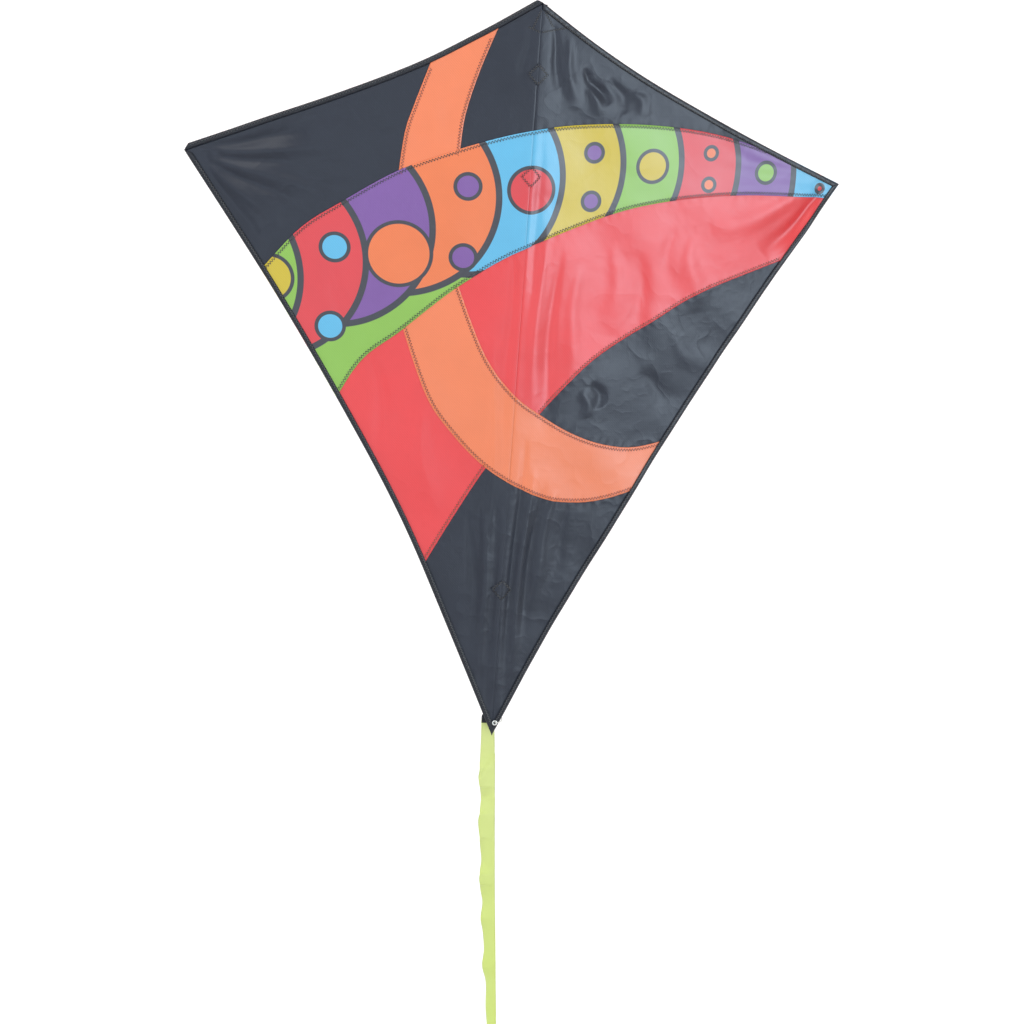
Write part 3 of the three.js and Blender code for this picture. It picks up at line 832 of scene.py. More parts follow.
# Rows that hold the nose pocket: x and z of both ends.
pocketRows = dict(left=[(-1.6, 206, -11, 182), (-16, 184.5, -0.8, 179)],
                  right=[(2.4, 206, 15, 186), (0.8, 179, 33, 186)])


def makeSeamStitches(wing):
    threads = dict(black=[], rust=[], grey=[])
    for name, offset, cloth, thread in seamRows:
        row = insideSail(shifted(lines[name], offset * mm)[::2], wing)
        if name == "swooshFoot" or len(row) < stitch["shortest"]:
            row = row[:-6]
        if len(row) > stitch["shortest"] and runLength(row) > stitch["shortest"] * mm:
            threads[thread].append(zigzag(row, -(layers[cloth] * mm + stitch["proud"])))
    for ends in pocketRows[wing]:
        row = evenly(np.array(ends).reshape(2, 2) * mm, 40)
        depth = -(layers["black"] * mm + stitch["proud"])
        threads["black"].append(zigzag(row, depth, stitch["pocketWidth"], stitch["pocketPitch"]))
    for edge in edgeOf[wing]:
        path, inward, _, _ = hemFrame(lines[edge], 400, 1 if edge == "lowerRight" else -1, 40, 40)
        row = (path + inward * (stitch["hemPlace"] * hem["width"]))[8:-8]
        depth = (hem["front"] - hem["bulge"]) * mm - stitch["tapeProud"]
        threads["grey"].append(zigzag(row, depth, stitch["hemWidth"]))
    for thread, material in dict(black=blackThread, rust=rustThread, grey=greyThread).items():
        blendWing(joinedGrids(f"{wing}_{thread}_stitches", threads[thread], material))


for wing in wings:
    makeSeamStitches(wing)
print("stitching made")


# ---- bridle patches, each in two halves that meet over the spine
patch = dict(half=13.6 * mm, front=-1.35, rise=0.3, inset=2.0 * mm, fromSpine=0.3 * mm, narrowing=0.97,
             rim=8, stitchWidth=3.0 * mm, stitchPitch=3.2 * mm)
patchPlaces = dict(upper_bridle_patch=(127, charcoalCloth, "charcoal_cloth"),
                   lower_bridle_patch=(-531, charcoalCloth, "charcoal_cloth"),
                   centre_patch=(0, bandCloth, "printed_cloth"))


def sewnHalf(name, wing, points, material, facing=-1):
    # one wing's half of a small patch, of thin cloth laid on the sail
    flat = flatPlace(points[..., 0], points[..., 2])
    piece = gridMesh(f"{name}_{wing}_half", points, None, material, flat=flat, facing=facing)
    thicken(piece, clothThickness)
    if wing == "left":
        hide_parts(name)
    blendWing(piece)


def makePatch(name, height, material, slot):
    # a square set on its corner: at u from 0 to 1 out from the spine its height is 1 - u either way
    half = patch["half"]
    for wing, facts in wings.items():
        u = np.linspace(0, 1, 14)[:, None]
        v = np.linspace(-1, 1, 25)[None, :]
        x = facts["sign"] * half * u * np.ones_like(v)
        z = height * mm + half * (1 - patch["narrowing"] * u) * v
        edge = np.maximum(u, np.abs(v) * (1 - u) + u) ** patch["rim"]
        y = sailDepth(x, z) + (patch["front"] - (1 - edge) * patch["rise"]) * mm
        sewnHalf(name, wing, np.stack([x, y, z], -1), material)
        inset, near = half - patch["inset"], patch["fromSpine"]
        corner = np.array([(near, inset), (inset, 0), (near, -inset)])
        corner = corner * [facts["sign"], 1] + [0, height * mm]
        depth = (patch["front"] - patch["rise"]) * mm - stitch["tapeProud"]
        grids = [zigzag(evenly(corner[k:k + 2], 30), depth, patch["stitchWidth"], patch["stitchPitch"])
                 for k in (0, 1)]
        blendWing(joinedGrids(f"{name}_{wing}_stitches", grids, blackThread))


for name, facts in patchPlaces.items():
    makePatch(name, *facts)
print("patches made")


# ---- round parts
def ringOf(axis, count):
    # even directions round an axis, and the axis itself
    a = Vector(axis).normalized()
    b = a.orthogonal().normalized()
    angle = np.linspace(0, 2 * pi, count, endpoint=False)[:, None]
    return np.cos(angle) * np.array(b) + np.sin(angle) * np.array(a.cross(b)), np.array(a)


def turnedPiece(name, body, material, start, end, profile, loop=False, replaces=True):
    # a profile of (distance from start, radius) in millimetres turned about the line from start to end;
    # a loop profile goes out along the outside and back along the bore
    ring, axis = ringOf(Vector(end) - Vector(start), 28)
    distance, radius = (np.array(profile, float) * mm).T[..., None, None]
    points = np.array(start) + distance * axis + radius * ring[None]
    piece = gridMesh(name, points, body, material, wrapU=loop, wrapV=True, closed=True)
    if replaces:
        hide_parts(name[:-len("_turned")])


def rod(near, far, radius, bevel=0.4):
    return [(near, 0), (near, radius - bevel), (near + bevel, radius),
            (far - bevel, radius), (far, radius - bevel), (far, 0)]


def tube(near, far, outer, bore, bevel=0.4):
    # a tube with rounded rims
    return [(near, bore + bevel), (near, outer - bevel), (near + bevel, outer), (near + 3, outer),
            (near + 4, outer), (far - bevel, outer), (far, outer - bevel), (far, bore + bevel),
            (far - bevel, bore), (near + bevel, bore)]


def cap(mouth, top, r, bore, floor):
    # open at its mouth, closed at its rounded top, which stands past the floor of its bore
    return [(floor, 0), (floor, bore), (mouth + 0.3, bore), (mouth, bore + 0.3), (mouth, r - 0.3),
            (mouth + 0.3, r), (mouth + 2.4, r), (mouth + 2.8, r - 0.25), (top - 2, r - 0.25),
            (top - 0.6, r - 0.9), (top, r - 2.2), (top, 0)]


spineY = 5.5 * mm


def onSpine(z):
    return (0, spineY, z * mm)


def spinePart(node, material, profile, loop=False, up=1):
    turnedPiece(node + "_turned", "spine", material, onSpine(0), onSpine(up), profile, loop)


spinePart("spine_rod_upper", fibreglass, rod(-49.8, 206, 2.5))
spinePart("spine_rod_lower", fibreglass, rod(-716, -50.2, 2.5))
spinePart("spine_ferrule", brass, tube(-71, -29, 3.5, 2.7, bevel=0.3), loop=True)
spinePart("nose_end_cap", vinyl, cap(192, 210, 3.6, 2.75, 206.3))
spinePart("tail_end_cap", vinyl, cap(702, 720, 3.6, 2.75, 716.3), up=-1)


# ---- sewn sleeves and the nose pocket on the back
# The nose pocket's top is pinched flat over the length pinchOver.
sleeve = dict(
    flange=5.9 * mm, seat=0.5 * mm, slack=0.22 * mm, opening=50, radius=4.35 * mm, noseRadius=4.9 * mm,
    pinch=0.55, pinchOver=26, pinchIn=2.2 * mm, flangeGap=0.6 * mm,
    stitchX=4.9, stitchWidth=1.8 * mm, stitchDepth=0.78 * mm, rows=((-700, -79), (19, 176), (180, 205)),
)


def makeSleeve(node, foot, top, radius, closedTop=False):
    # Cross-section: a flat flange, up round the rod through three quarters of a turn, a flat flange
    # again. Along its length the radius wanders a little, as slack cloth does.
    z = np.linspace(foot, top, int(abs(top - foot) / 4) + 2)[:, None] * mm
    opening = radians(sleeve["opening"])
    angle = -opening + np.linspace(0, 1, 25)[None, :] * (pi + 2 * opening)
    waves = np.sin(z * 170 + 3 * np.sin(z * 40) + angle * 2) + 0.6 * np.sin(z * 390 + angle * 5)
    slack = sleeve["slack"] * waves
    over = sleeve["pinchOver"]
    closing = np.clip((z - (top - over) * mm) / (over * mm), 0, 1)
    pinch = 1 - (sleeve["pinch"] * closing ** 2 if closedTop else 0)
    x = (radius + slack) * np.cos(angle)
    y = spineY + (radius + slack) * np.sin(angle) * pinch - (1 - pinch) * sleeve["pinchIn"]
    flange = np.linspace(sleeve["flange"], radius * cos(opening) + sleeve["flangeGap"], 6) * np.ones_like(z)
    x = np.concatenate([flange, x, -flange[:, ::-1]], 1)
    z = np.broadcast_to(z, x.shape)
    y = np.concatenate([0 * flange, y, 0 * flange], 1)
    y = np.maximum(y, sailDepth(x, z, fine=False) + sleeve["seat"])
    piece = gridMesh(node + "_cloth", np.stack([x, y, z], -1), "spine", charcoalCloth,
                     facing=1)
    thicken(piece, backThickness)
    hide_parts(node)


makeSleeve("spine_sleeve_upper", 17, 177.7, sleeve["radius"])
makeSleeve("spine_sleeve_lower", -701.6, -77, sleeve["radius"])
makeSleeve("nose_pocket", 178.4, 213, sleeve["noseRadius"], closedTop=True)
for wing, facts in wings.items():
    x = facts["sign"] * sleeve["stitchX"]
    runs = [zigzag(np.array([(x, a), (x, b)]) * mm, sleeve["stitchDepth"], sleeve["stitchWidth"])
            for a, b in sleeve["rows"]]
    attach(joinedGrids(f"sleeve_{wing}_stitches", runs, greyThread), "spine")
print("spine made")


# ---- the wings' frame
sweep = radians(13.8)
foldX = 6  # each wing folds about a line this far from the spine's middle
sparY = 5.6  # the spar's middle lies this far behind the wing's own plane


def onWing(wing, s, behind, z=0.0):
    # s runs out from the fold line along the swept wing, behind is square to it, in millimetres
    sign = wings[wing]["sign"]
    out, back = s * cos(sweep) - behind * sin(sweep), s * sin(sweep) + behind * cos(sweep)
    return (sign * (foldX + out) * mm, back * mm, z * mm)


def wingPart(wing, node, material, profile, loop=False):
    turnedPiece(f"{wing}_{node}_turned", wings[wing]["body"], material, onWing(wing, 0, sparY),
                onWing(wing, 1, sparY), profile, loop)


armProfile = [(16, 2.3), (16, 3.4), (16.6, 4), (20, 4), (36, 3.5), (40.6, 3.5), (41, 3.95), (43.5, 3.95),
              (44, 3.5), (44, 2.5), (43.6, 2.25), (16.4, 2.25)]
for wing in wings:
    wingPart(wing, "cross_spar", fibreglass, rod(20, 413.4, 2.0, 0.3))
    wingPart(wing, "hub_arm", vinyl, armProfile, loop=True)
    wingPart(wing, "spar_cap", vinyl, cap(401.5, 416.5, 3.1, 2.2, 413.8))


# ---- hub: a moulded core round the spine with a springy web out to each arm
hub = dict(
    halfWidth=4.3, front=1.4, back=13.4, corner=3.2, webStart=(3.6, 6.6), webEnd=17.2,
    webTall=(9.5, 5.7, 1.0), webDeep=(4.6, 0.8, 1.3), webBend=20,
    steps=[(-13, 0.0), (-13, 0.78), (-12.7, 0.9), (-12, 0.97), (-10.8, 1), (-6.5, 1), (-6.2, 0.94),
           (6.2, 0.94), (6.5, 1), (10.8, 1), (12, 0.97), (12.7, 0.9), (13, 0.78), (13, 0.0)],
    collar=[(13.2, 2.8), (13.2, 4.0), (13.5, 4.3), (15.4, 4.3), (15.8, 3.9), (15.8, 2.8)],
)


def rounded(values, power):
    # the sign kept and the size raised to a power, which squares off a circle's cosine and sine
    return np.sign(values) * np.abs(values) ** power


def makeHubCore():
    # a rounded box: at angle a the radius in each direction is |cos a| and |sin a| to the power
    # 2 / corner, times the half sizes; its steps are height and scale
    angle = np.linspace(0, 2 * pi, 40, endpoint=False)
    power = 2 / hub["corner"]
    middle, deep = (hub["back"] + hub["front"]) / 2, (hub["back"] - hub["front"]) / 2
    z, scale = np.array(hub["steps"]).T[:, :, None]
    x = scale * hub["halfWidth"] * rounded(np.cos(angle), power)
    y = middle + scale * deep * rounded(np.sin(angle), power)
    points = np.stack(np.broadcast_arrays(x, y, z), -1) * mm
    piece = gridMesh("hub_core_moulding", points, "spine", vinyl, wrapV=True, closed=True)
    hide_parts("hub_core")


def makeWeb(wing):
    # a flat oval section carried from the core to the arm; its half height and half depth fall by the
    # second figure as the web runs out, and by the third at its waist
    t = np.linspace(0, 1, 22)
    sign = wings[wing]["sign"]
    x, y = hub["webStart"]
    start, end = np.array([sign * x, y, 0]) * mm, np.array(onWing(wing, hub["webEnd"], sparY))
    middle = start + (end - start) * t[:, None]
    along = (end - start) / np.linalg.norm(end - start)
    square = np.array([-along[1], along[0], 0])
    tall, deep = ((a - b * eased(t) - c * np.sin(pi * t)) * mm for a, b,
                  c in (hub["webTall"], hub["webDeep"]))
    angle = np.linspace(0, 2 * pi, 28, endpoint=False)
    points = (middle[:, None] + deep[:, None, None] * np.cos(angle)[None, :, None] * square
              + tall[:, None, None] * np.sin(angle)[None, :, None] * np.array([0, 0, 1]))
    piece = gridMesh(f"{wing}_hub_web", points, None, vinyl, wrapV=True, caps=True, closed=True)
    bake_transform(piece)


makeHubCore()
for name, up in (("hub_upper_collar", 1), ("hub_lower_collar", -1)):
    turnedPiece(name, "spine", vinyl, onSpine(0), onSpine(up), hub["collar"], True, replaces=False)
for wing in wings:
    makeWeb(wing)
print("hub and spars made")


# ---- sewn pockets over the spars' tips
tip = dict(inner=383, outer=421, height=10.4, lowest=-34, upperGap=1.2, lowerGap=2.0, seat=1.35, width=8,
           closing=0.25, crease=0.5 * mm, fullness=1.12, turnings=1.1)


def makeTipPocket(wing):
    # u runs from the pocket's mouth to the tip and v from its lower to its upper edge, just inside the
    # sail's edges; it lies on the sail at its edges and bulges over the spar between them
    sign = wings[wing]["sign"]
    upper, lower = (lines[name] for name in edgeOf[wing])
    u = np.linspace(0, 1, 26)[:, None]
    v = np.linspace(0, 1, 31)[None, :]
    x = (tip["inner"] + (tip["outer"] - tip["inner"]) * u) * mm
    high = np.interp(x, sign * upper[:, 0], upper[:, 1]) - tip["upperGap"] * mm
    low = np.interp(x, sign * lower[:, 0], lower[:, 1]) + tip["lowerGap"] * mm
    low = np.maximum(low, tip["lowest"] * mm)
    z = low + (high - low) * v
    x = x * np.ones_like(v)
    width = tip["width"] * mm
    dome = np.exp(-(z / width) ** 2) * np.clip((1.06 - u) / tip["closing"], 0, 1) ** 0.6
    crease = tip["crease"] * np.sin(z * 420 + 6 * u) * np.sin(pi * u) * np.exp(-(z / (2 * width)) ** 2)
    y = sailDepth(sign * x, z, fine=False) + tip["seat"] * mm + (dome * tip["height"] * mm) + crease
    points = np.stack([sign * x, y, z], -1)
    piece = gridMesh(f"{wing}_tip_pocket_cloth", points, wings[wing]["body"],
                     charcoalCloth, flat=flatPlace(sign * x, z), facing=1)
    thicken(piece, backThickness)
    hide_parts(f"{wing}_tip_pocket")


for wing in wings:
    makeTipPocket(wing)
print("tip pockets made")


# ---- tail: eyelet, link, webbing tab, ribbon, roll and band
def ringPiece(name, body, material, centre, normal, radius, deep, tall, node=None):
    # a ring whose section is an oval, deep outwards and tall along its axis
    out, axis = ringOf(normal, 40)
    angle = np.linspace(0, 2 * pi, 14, endpoint=False)
    points = (np.array(centre) + (radius + deep * np.cos(angle))[None, :, None] * out[:, None]
              + (tall * np.sin(angle))[None, :, None] * axis)
    piece = gridMesh(name, points, body, material, wrapU=True, wrapV=True, closed=True)
    if node:
        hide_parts(node)
    return piece


# a set eyelet: a rolled flange in front, a barrel through the cloth and a flat flange behind
eyelet = dict(
    x=2.5 * mm, z=-708 * mm,
    profile=[(-2.7, 1.75), (-3.1, 2.1), (-3.3, 2.6), (-3.1, 3.2), (-2.7, 3.5), (-2.4, 3.4), (-2.3, 2.3),
             (1.5, 2.3), (1.5, 3.2), (1.9, 3.2), (1.95, 2.0), (1.6, 1.7)],
)
turnedPiece("tail_eyelet_turned", "spine", nickel, (eyelet["x"], 0, eyelet["z"]),
            (eyelet["x"], 1 * mm, eyelet["z"]), eyelet["profile"], True)

# Tail pieces stand round the line x = tailX, y = tailY.
tailX, tailY = -4 * mm, 13.5 * mm
link = dict(z=-692 * mm, radius=3.6 * mm, thread=0.62 * mm)
ringPiece("tail_link_loop", "tail_link", whiteBraid, (tailX, tailY, link["z"]), (1, 0, 0),
          link["radius"], link["thread"], link["thread"], "tail_link")

# The line's way runs from the eyelet round the sail's edge and back behind it to the knot. Its knot is
# a swelling near its end.
line = dict(
    way=[(3.0, 0.4, -707.6), (3.2, -2.4, -707.5), (4.6, -3.7, -707.3), (8, -3.5, -706.6),
         (10.8, -2.4, -705.9), (12.2, 0.6, -705), (12.2, 4.6, -702.4), (10.4, 9.4, -697.5),
         (6.4, 11.6, -693.4), (2, 11.6, -692), (-8.6, 11.5, -692)],
    radius=0.58 * mm, pitch=1.6 * mm, swell=0.1, knot=0.4 * mm, knotBack=1.0 * mm, knotHalf=0.8 * mm,
)


def squareTo(path):
    # two directions square to a path that turn as little as the path does
    along = tangents(path)
    side = np.cross(along, [0.13, 0.2, 0.97])
    side /= np.linalg.norm(side, axis=1)[:, None]
    return side, np.cross(along, side)


def makeLine():
    # a braid: the radius swells twice a turn and twice along each pitch
    path = evenly(spline(*line["way"], count=500), 150)
    side, up = squareTo(path)
    angle = np.linspace(0, 2 * pi, 12, endpoint=False)[None, :]
    s = np.linspace(0, runLength(path), len(path))[:, None]
    r = line["radius"] * (1 + line["swell"] * np.cos(2 * angle + s * 2 * pi / line["pitch"]))
    r = r + line["knot"] * np.exp(-((s - s[-1] + line["knotBack"]) / line["knotHalf"]) ** 2)
    out, over = (r * np.cos(angle))[..., None], (r * np.sin(angle))[..., None]
    points = path[:, None] + out * side[:, None] + over * up[:, None]
    piece = gridMesh("tail_line_braid", points, "spine", whiteBraid, wrapV=True, caps=True,
                     closed=True)
    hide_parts("tail_line")


makeLine()


def clothStrip(name, body, material, rightEdge, leftEdge, replaced, flatSize, thickness,
               columns=13, area=None, lift=None):
    # a strip ruled from its right edge to its left one, with flat coordinates from its real size; lift
    # moves its points to or from the front by a function of them
    v = np.linspace(0, 1, columns)[None, :, None]
    points = rightEdge[:, None] * (1 - v) + leftEdge[:, None] * v
    if lift:
        points[..., 1] += lift(points[..., 0], points[..., 2])
    flat = np.stack(np.broadcast_arrays(lengths(points.mean(1))[:, None], v[..., 0] * flatSize[0]), -1)
    piece = gridMesh(name, points, body, material, flat=flat)
    thicken(piece, thickness, 0.0)
    for node in replaced:
        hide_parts(node)


# The tab's way is depth and height in millimetres: up behind, over its top edge and down in front.
tab = dict(
    half=8.2, top=-697.4, waist=3.4, taper=8, thickness=0.4 * mm, rows=((-706, 7.2), (-709.6, 7.4)),
    way=[(14.3, -712.3), (14.3, -708), (14.4, -703), (14.4, -699.6), (14.1, -697.9), (13.7, -697.4),
         (13.3, -697.9), (13.0, -699.6), (12.9, -703), (12.9, -708), (12.8, -712.6)],
    stitchDepth=14.62 * mm, stitchHalf=0.7 * mm, stitchPitch=2.2 * mm, thread=0.25 * mm,
    eyeZ=-696.1 * mm, eyeRadius=1.75 * mm, eyeThread=0.32 * mm, bend=(-695.7 * mm, -697.4 * mm),
)


def tabStitches(height, half):
    # a zigzag across the tab's back: sample k stands above or below the row, turn about
    row = np.array([(tailX / mm - half, height), (tailX / mm + half, height)]) * mm
    count = int(2 * runLength(row) / tab["stitchPitch"])
    middle = evenly(row, count)
    side = np.where(np.arange(count) % 2, 1, -1) * tab["stitchHalf"]
    depth, thread = np.full(count, tab["stitchDepth"]), tab["thread"]
    return np.stack([np.stack([middle[:, 0] + a * thread, depth + b * thread, middle[:, 1] + side], -1)
                     for a, b in diamond], 1)


def makeTab():
    # it narrows to its waist at the top, where a thread eye ties it to the link
    path = evenly(np.array(tab["way"]) * mm, 60)
    drop = np.clip((tab["top"] * mm - path[:, 1]) / (tab["taper"] * mm), 0, 1)
    half = (tab["waist"] + (tab["half"] - tab["waist"]) * np.sin(drop * pi / 2) ** 0.8) * mm
    right, left = (np.stack([tailX + sign * half, path[:, 0], path[:, 1]], 1) for sign in (1, -1))
    size = (2 * tab["half"] * mm, float(runLength(path)))
    clothStrip("tail_tab_webbing", "tail", tapeCloth, right, left, ["tail_tab"], size,
               tab["thickness"], area=0.9 * size[0] * size[1])
    for k, row in enumerate(tab["rows"]):
        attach(joinedGrids(f"tail_tab_stitches_{k + 1}", [tabStitches(*row)], greyThread),
                "tail")
    eye = ringPiece("tail_tab_eye", None, blackThread, (tailX, tailY, tab["eyeZ"]), (0, 1, 0),
                    tab["eyeRadius"], tab["eyeThread"], tab["eyeThread"])
    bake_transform(eye)


makeTab()


# ---- the ribbon, hung and then wound into a roll
ribbon = dict(width=20 * mm, thickness=0.14 * mm, samples=260, topDepth=13.6, topBow=0.5, settle=0.78,
              gripEnd=0.02, gripRate=9, slack=(0, 0.8, 1.1, 0.7, 0),
              rollPitch=0.54, rollInner=6.2, rollOuter=24 * mm, rollX=-6 * mm, rollZ=-1182 * mm, entry=-8)
ribbonRight = spline((3.8, -706), (4.6, -712), (7.4, -740), (10.2, -775), (13.8, -830), (17.8, -890),
                     (23.2, -964), (29.6, -1045), (34.6, -1123), (33, -1140), (26.5, -1160))
ribbonLeft = spline((-11.8, -706), (-12.4, -712), (-10.4, -740), (-9.4, -757), (-10.0, -776), (-10.4, -792),
                    (-4.4, -814), (-5.0, -832), (-7.2, -848), (-1.4, -882), (2.4, -905), (-0.6, -925),
                    (3.8, -945), (8.2, -964), (6.4, -984), (11.4, -1004), (15.0, -1030), (13.6, -1052),
                    (20.8, -1076), (22.4, -1110), (26.0, -1140), (26.5, -1160))


def ribbonFolds(x, z):
    # each fold is a line across the strip: cloth above it rises to the back over reach and below it
    # starts again to the front, a saw tooth rounded at its tip
    total = np.zeros_like(x)
    for x1, z1, x2, z2, depth, reach in ribbonCreases * mm:
        above = (z - z1) - (x - x1) * (z2 - z1) / (x2 - x1)
        total += depth * np.exp(-np.abs(above) / reach) * np.tanh(above / (1.5 * mm))
    return total


# Fold lines: x and z of both ends, depth, reach.
ribbonCreases = np.array([
    (9, -754, -10, -788, 2.2, 12), (14, -812, -6, -819, 1.2, 10), (18, -872, -2, -868, 0.7, 12),
    (24, -960, 4, -950, 0.6, 14), (30, -1040, 14, -1052, 0.6, 12),
])


def ribbonEdges():
    # The right edge hangs nearly straight. The left one stands as far behind it as the width that the
    # two don't show leaves over: depth = sqrt(width^2 - shown^2). Both settle about the tail's line.
    count = ribbon["samples"]
    right, left = evenly(ribbonRight, count), evenly(ribbonLeft, count)
    shown = np.linalg.norm(right - left, axis=1)
    t = np.linspace(0, 1, count)
    grip = np.clip((t - ribbon["gripEnd"]) * ribbon["gripRate"], 0, 1)  # flat where the tab grips it
    behind = np.sqrt(np.maximum(ribbon["width"] ** 2 - shown**2, 0)) * eased(grip)
    start = (ribbon["topDepth"] - ribbon["topBow"] * np.sin(pi * np.clip(t * 8, 0, 1))) * mm
    settle = eased(np.clip((t - ribbon["settle"]) / (1 - ribbon["settle"]), 0, 1))
    front = start * (1 - settle) + (tailY - behind / 2) * settle
    rightEdge = np.stack([right[:, 0], front, right[:, 1]], 1)
    return rightEdge, np.stack([left[:, 0], front + behind, left[:, 1]], 1)


def rollPath(last):
    # from the last hung point over a slack run into a spiral, whose radius falls by the pitch each turn
    outer, entry, pitch = ribbon["rollOuter"], radians(ribbon["entry"]), ribbon["rollPitch"]
    turns = (outer / mm - ribbon["rollInner"]) / pitch
    a = np.linspace(0, 2 * pi * turns, int(34 * turns))
    r = outer - pitch * mm * a / (2 * pi)
    roll = np.stack([ribbon["rollX"] + r * np.cos(entry - a), ribbon["rollZ"] + r * np.sin(entry - a)], 1)
    t = np.linspace(0, 1, 5)[:, None]
    slack = np.stack([np.array(ribbon["slack"]) * mm, np.zeros(5)], 1)
    between = evenly(last * (1 - t) + roll[0] * t + slack, 14)[1:-1]
    return np.concatenate([between, roll])


def makeRibbon():
    rightEdge, leftEdge = ribbonEdges()
    path = rollPath((rightEdge[-1] + leftEdge[-1])[[0, 2]] / 2)
    half = ribbon["width"] / 2
    low, high = (np.stack([path[:, 0], np.full(len(path), tailY + side * half), path[:, 1]], 1)
                 for side in (-1, 1))
    rightEdge, leftEdge = np.concatenate([rightEdge, low]), np.concatenate([leftEdge, high])
    length = runLength((rightEdge + leftEdge) / 2)
    print("ribbon length in metres:", round(length, 3))
    clothStrip("tail_ribbon_strip", "tail", limeRibbon, rightEdge, leftEdge,
               ["tail_ribbon", "tail_roll"], (ribbon["width"], float(length)), ribbon["thickness"],
               9, lift=ribbonFolds)


makeRibbon()


# ---- a flat rubber band through the roll
band = dict(inside=(-24.35, -4.1), half=10.35, radius=0.5, wide=1.9, corner=1.2, clear=0.4, squareness=0.6)


def makeBand():
    # its way is a rectangle with cut corners round the roll's section, and its own section a rounded
    # oblong: thick square to the way and wide along the tail
    (x1, x2), h, c, g = band["inside"], band["half"], band["corner"], band["clear"]
    corners = [(x1 - g, -h + c), (x1 + c, -h - g), (x2 - c, -h - g), (x2 + g, -h + c), (x2 + g, h - c),
               (x2 - c, h + g), (x1 + c, h + g), (x1 - g, h - c)]
    path = evenly(np.array(corners + corners[:1]) * mm, 97)[:-1]
    along = np.roll(path, -1, 0) - np.roll(path, 1, 0)
    along /= np.linalg.norm(along, axis=1)[:, None]
    square = -leftOf(along)
    square *= np.sign((square * (path - path.mean(0))).sum(1))[:, None]
    angle = np.linspace(0, 2 * pi, 16, endpoint=False)
    thick = band["radius"] * mm * rounded(np.cos(angle), band["squareness"])
    wide = band["wide"] * mm * rounded(np.sin(angle), band["squareness"])
    section = path[:, None] + square[:, None] * thick[None, :, None]
    x, y = section[..., 0] + ribbon["rollX"], section[..., 1] + tailY
    z = np.broadcast_to(wide[None] + ribbon["rollZ"], x.shape)
    piece = gridMesh("tail_tie_band", np.stack([x, y, z], -1), "tail", elastic, wrapU=True,
                     wrapV=True, closed=True)
    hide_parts("tail_tie")


makeBand()
print("tail made")


# ---- the doubled cloth at the tail's tip
tailTip = dict(top=-697.5, height=25.5, half=11.4, depth=1.15, narrowing=0.96, filled=0.52)


def makeTailTip():
    # a small three-cornered patch behind the tip: its half width falls evenly down to the point
    tall, half = tailTip["height"], tailTip["half"]
    for wing, facts in wings.items():
        u = np.linspace(0, 1, 16)[:, None]
        v = np.linspace(0, 1, 9)[None, :]
        z = (tailTip["top"] - tall * u) * mm * np.ones_like(v)
        x = facts["sign"] * v * (half * (1 - tailTip["narrowing"] * u)) * mm
        y = sailDepth(x, z, fine=False) + tailTip["depth"] * mm
        sewnHalf("tail_tip_patch", wing, np.stack([x, y, z], -1), tapeCloth,
                 facing=1)


makeTailTip()


# ---- stage
def flatMaterial(name, shade):
    material = bpy.data.materials.new(name)
    material.use_nodes = True
    shader = material.node_tree.nodes["Principled BSDF"]
    shader.inputs["Base Color"].default_value = (shade, shade, shade, 1)
    shader.inputs["Roughness"].default_value = 0.9
    return material


def stagePlane(name, centre, across, up, material):
    a, b, c = Vector(across), Vector(up), Vector(centre)
    mesh = bpy.data.meshes.new(name)
    mesh.from_pydata([c - a - b, c + a - b, c + a + b, c - a + b], [], [(0, 1, 2, 3)])
    mesh.materials.append(material)
    plane = bpy.data.objects.new(name, mesh)
    bpy.context.collection.objects.link(plane)


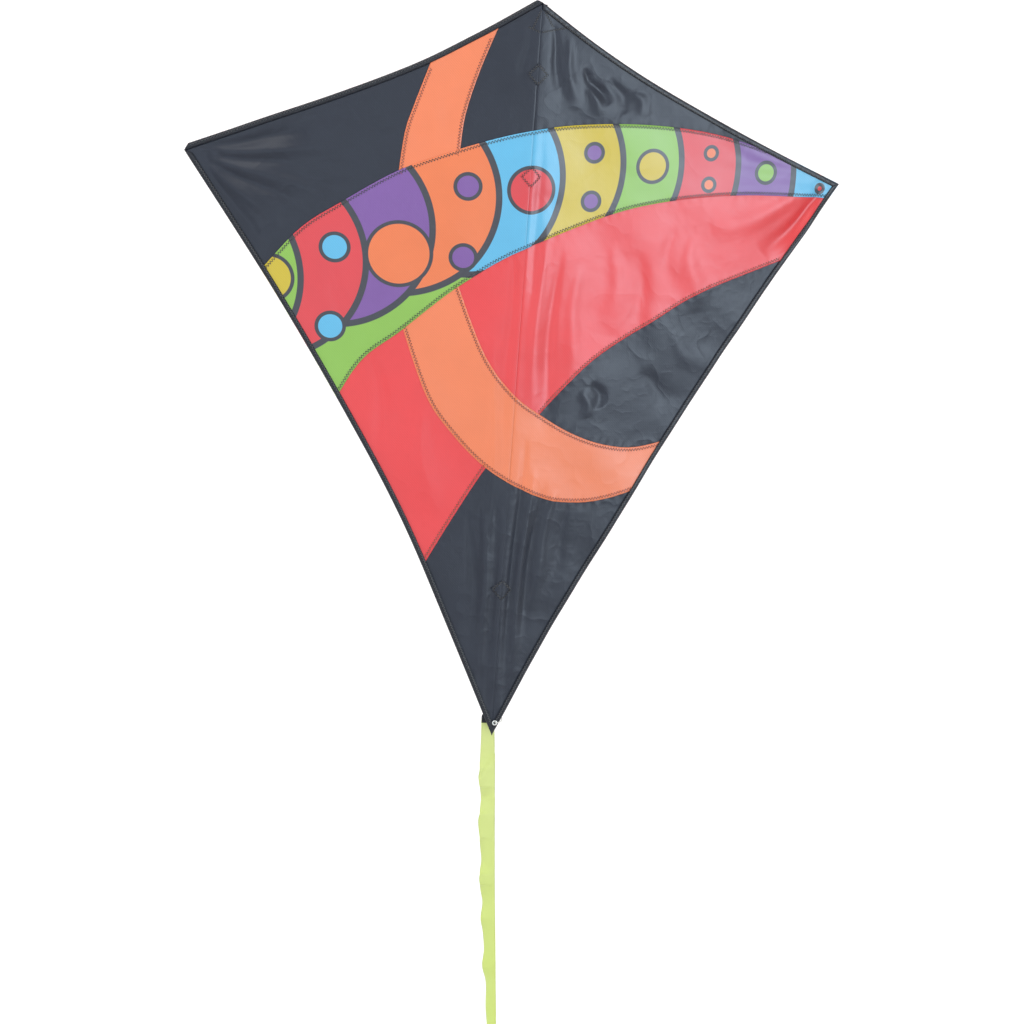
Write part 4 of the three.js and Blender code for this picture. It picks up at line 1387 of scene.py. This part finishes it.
# Each light: azimuth and elevation seen from the sail, distance, width and height, power. Reflectors
# show in the cloth's sheen only.
lights = dict(key=(-42, 50, 2.3, 1.2, 1.2, 14), reflector=(44, 4, 3.0, 1.3, 1.4, 68),
              strip=(-2, -10, 3.2, 0.16, 2.4, 18), strip_left=(-34, -10, 3.2, 0.16, 2.4, 12))


def areaLight(name, azimuth, elevation, distance, width, height, power):
    out = viewAxes(azimuth, elevation)[2]
    data = bpy.data.lights.new(name, "AREA")
    data.shape, data.size, data.size_y, data.energy = "RECTANGLE", width, height, power
    lamp = bpy.data.objects.new(name, data)
    if name != "key":
        data.color = (0.72, 0.86, 1.0)
        lamp.visible_diffuse = False
    lamp.location = Vector((0, 0.03, -0.3)) + distance * out
    lamp.rotation_mode = "QUATERNION"
    lamp.rotation_quaternion = out.to_track_quat("Z", "Y")
    bpy.context.collection.objects.link(lamp)


def wallMaterial():
    # white and faintly glowing, and clear when seen from behind
    wall = flatMaterial("wall", 0.92)
    nodes, links = wall.node_tree.nodes, wall.node_tree.links
    shader = nodes["Principled BSDF"]
    shader.inputs["Emission Color"].default_value = (1, 1, 1, 1)
    shader.inputs["Emission Strength"].default_value = 0.3
    back, clear = nodes.new("ShaderNodeNewGeometry"), nodes.new("ShaderNodeBsdfTransparent")
    mix = nodes.new("ShaderNodeMixShader")
    links.new(back.outputs["Backfacing"], mix.inputs[0])
    links.new(shader.outputs[0], mix.inputs[1])
    links.new(clear.outputs[0], mix.inputs[2])
    links.new(mix.outputs[0], nodes["Material Output"].inputs["Surface"])
    return wall


def makeStage():
    stagePlane("backdrop", (0, 0.6, 0), (4, 0, 0), (0, 0, 3), wallMaterial())
    stagePlane("floor", (0, 0, -1.5), (6, 0, 0), (0, 6, 0), flatMaterial("floor", 0.9))
    world = bpy.data.worlds.new("room")
    world.use_nodes = True
    world.node_tree.nodes["Background"].inputs[0].default_value = (1, 1, 1, 1)
    world.node_tree.nodes["Background"].inputs[1].default_value = 0.85
    bpy.context.scene.world = world
    bpy.context.scene.view_settings.view_transform = "Standard"
    for name, facts in lights.items():
        areaLight(name, *facts)


makeStage()
print("stage made")
